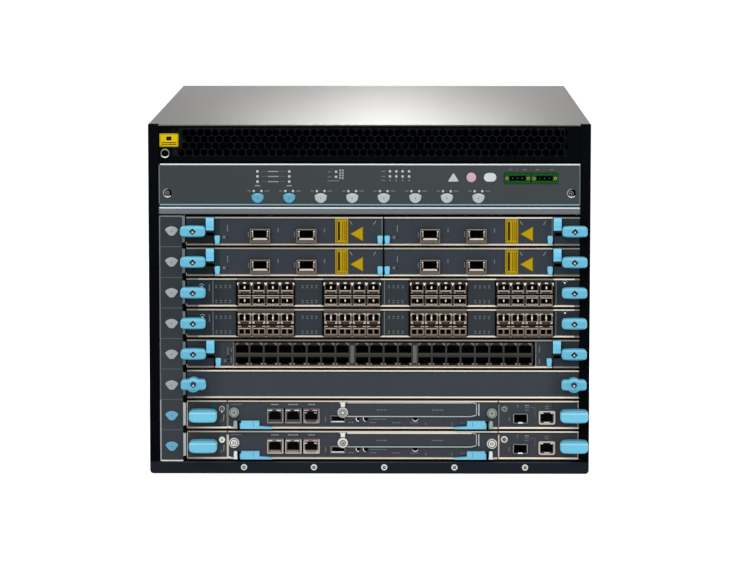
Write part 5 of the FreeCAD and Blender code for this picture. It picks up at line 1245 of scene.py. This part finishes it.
SUPPLY_PITCH = 106.0
supply_low, supply_high = corners("power_supplies")
rear_parts = Shape("supply_details", "chassis", "hole_black dark_plastic gold lamp_grey grey_metal")
for index in range(4):
    # Drawn facing -Y, then turned to face +Y
    left = supply_low.x + SUPPLY_PITCH * index
    rear_parts.at(-left - 32.0, -REAR, inlet_low + 8.0)
    for x, z in ((-5.0, 1.8), (5.0, 1.8), (0.0, -3.2)):
        rear_parts.block(x - 1.0, x + 1.0, 17.8, 6.0, z - 2.4, z + 2.4, 2, 0.3)
    rear_parts.collar(rounded(-14.0, 14.0, -10.2, 10.2, 3.0), rounded(-11.9, 11.9, -7.9, 7.9, 1.0),
                      0, -1.0, 1, 0.4)
    rear_parts.at(-left - 74.0, -REAR, supply_low.z + 14)
    for row in range(5):
        for step in range(7):
            x = (step - 3) * 6.4 + (3.2 if row % 2 else 0)
            rear_parts.slab(circle(x, row * 5.6, 2.3, 6, 30), 0.05, -0.06, 0)
    rear_parts.at(-left - 8.0, -REAR, supply_low.z + 8)
    rear_parts.turned(0, 0, [(3.4, 0), (3.4, -3.5), (2.8, -4.0), (0, -4.0)], 4, 18)
    rear_parts.at(-left - 96.0, -REAR, supply_low.z + 70)
    rear_parts.turned(0, 0, [(1.4, 0), (1.2, -0.7), (0, -0.9)], 3, 12)
rear_parts.make(Matrix.Rotation(math.pi, 3, "Z"))

dividers = Shape("supply_dividers", "chassis", "dark_plastic").at(y=supply_low.y)
for x, half in ((-216.0, 4.4), (-SUPPLY_PITCH, 2.2), (0.0, 2.2), (SUPPLY_PITCH, 2.2), (216.0, 4.4)):
    dividers.block(x - half, x + half, -1.0, -3.0, supply_low.z + 0.4, supply_high.z, 0, 0.4)
dividers.make()

hubs = Shape("fan_hub_labels", "fan_tray", "dark_plastic silver")
for y in (146.0, -96.0):
    # Drawn facing -Y, then turned to face -X
    hubs.at(-y, fan_low.x, (fan_low.z + fan_high.z) / 2)
    hubs.turned(0, 0, [(49.0, 0.1), (49.0, -0.2), (46.0, -0.4), (0, -0.4)], 0, 40)
    for ring in (62.0, 76.0, 90.0, 104.0):
        hubs.collar(circle(0, 0, ring + 0.7, 48), circle(0, 0, ring - 0.7, 48), 0.9, -0.3, 1, 0.3)
hubs.make(Matrix.Rotation(-math.pi / 2, 3, "Z"))

# Camera as fitted to the photograph

FOCAL_PIXELS = 3714.68
PHOTO_WIDTH = 732.0
SENSOR = 36.0
camera_data = bpy.data.cameras.new("camera")
camera_data.sensor_width = SENSOR
camera_data.lens = FOCAL_PIXELS * SENSOR / PHOTO_WIDTH
camera_data.clip_start = 0.5
camera_data.clip_end = 60.0
camera = bpy.data.objects.new("camera", camera_data)
turns = ((0.008919, "Z"), (-0.1153294, "X"), (-0.0000629, "Y"), (math.pi / 2, "X"))
facing = Matrix.Identity(3)
for angle, axis in turns:
    facing = facing @ Matrix.Rotation(angle, 3, axis)
camera_place = Vector((0.029653, -3.707201 + FRONT * MM, 0.624367))
camera.matrix_world = Matrix.Translation(camera_place) @ facing.to_4x4()
bpy.context.scene.collection.objects.link(camera)
bpy.context.scene.camera = camera

# Floor, world and lamps


def seen_rays(tree):
    """One for rays from the camera, from gloss and through glass, zero for diffuse light."""
    path = tree.nodes.new("ShaderNodeLightPath")
    result = path.outputs["Is Camera Ray"]
    for name in ("Is Glossy Ray", "Is Transmission Ray"):
        node = tree.nodes.new("ShaderNodeMath")
        node.operation = "MAXIMUM"
        tree.links.new(result, node.inputs[0])
        tree.links.new(path.outputs[name], node.inputs[1])
        result = node.outputs[0]
    return result


FLOOR_HALF = 30
FLOOR_GLOW = 0.74
floor_mesh = bpy.data.meshes.new("floor")
floor_mesh.from_pydata([(x, y, 0) for x, y in rect(-FLOOR_HALF, FLOOR_HALF, -FLOOR_HALF, FLOOR_HALF)], [],
                       [(0, 1, 2, 3)])
floor = bpy.data.objects.new("floor", floor_mesh)
floor.location.z = -0.0005
bpy.context.scene.collection.objects.link(floor)
floor_material = bpy.data.materials.new("floor")
floor_material.use_nodes = True
tree = floor_material.node_tree
shader = next(n for n in tree.nodes if n.type == "BSDF_PRINCIPLED")
shader.inputs["Base Color"].default_value = (0.8, 0.8, 0.8, 1)
shader.inputs["Roughness"].default_value = 0.95
shader.inputs["Specular IOR Level"].default_value = 0.0
shader.inputs["Emission Color"].default_value = (1, 1, 1, 1)
glow = tree.nodes.new("ShaderNodeMath")
glow.operation = "MULTIPLY"
glow.inputs[1].default_value = FLOOR_GLOW
tree.links.new(seen_rays(tree), glow.inputs[0])
tree.links.new(glow.outputs[0], shader.inputs["Emission Strength"])
floor_mesh.materials.append(floor_material)

world = bpy.data.worlds.new("studio")
bpy.context.scene.world = world
world.use_nodes = True
tree = world.node_tree
background = next(n for n in tree.nodes if n.type == "BACKGROUND")
mix = tree.nodes.new("ShaderNodeMix")
mix.data_type = "RGBA"
tree.links.new(seen_rays(tree), mix.inputs[0])
mix.inputs[6].default_value = (0.36, 0.365, 0.37, 1)
mix.inputs[7].default_value = (1, 1, 1, 1)
tree.links.new(mix.outputs[2], background.inputs[0])

# Name, place, what it faces, width, height and power of each lamp
LAMPS = (("key", (-0.6, -2.2, 1.9), (0, -0.2, 0.2), 1.6, 1.2, 30),
         ("fill", (1.8, -1.8, 0.8), (0, -0.2, 0.2), 1.2, 1.2, 10),
         ("top", (0.1, 0.2, 1.7), (0.0, -0.1, 0.35), 0.8, 0.6, 6),
         ("sheen_near", (0.008, 0.7, 0.75), (0.008, 0.0, 0.353), 0.35, 0.15, 3.2),
         ("sheen_far", (0.01, 1.6, 0.95), (0.01, 0.0, 0.353), 0.12, 0.15, 2.35))
for name, place, aim, width, height, power in LAMPS:
    data = bpy.data.lights.new(name, "AREA")
    data.shape = "RECTANGLE"
    data.size = width
    data.size_y = height
    data.energy = power
    lamp_object = bpy.data.objects.new(name, data)
    lamp_object.location = place
    lamp_object.rotation_euler = (Vector(aim) - Vector(place)).to_track_quat("-Z", "Y").to_euler()
    lamp_object.visible_camera = False
    bpy.context.scene.collection.objects.link(lamp_object)

bpy.context.scene.view_settings.view_transform = "Standard"
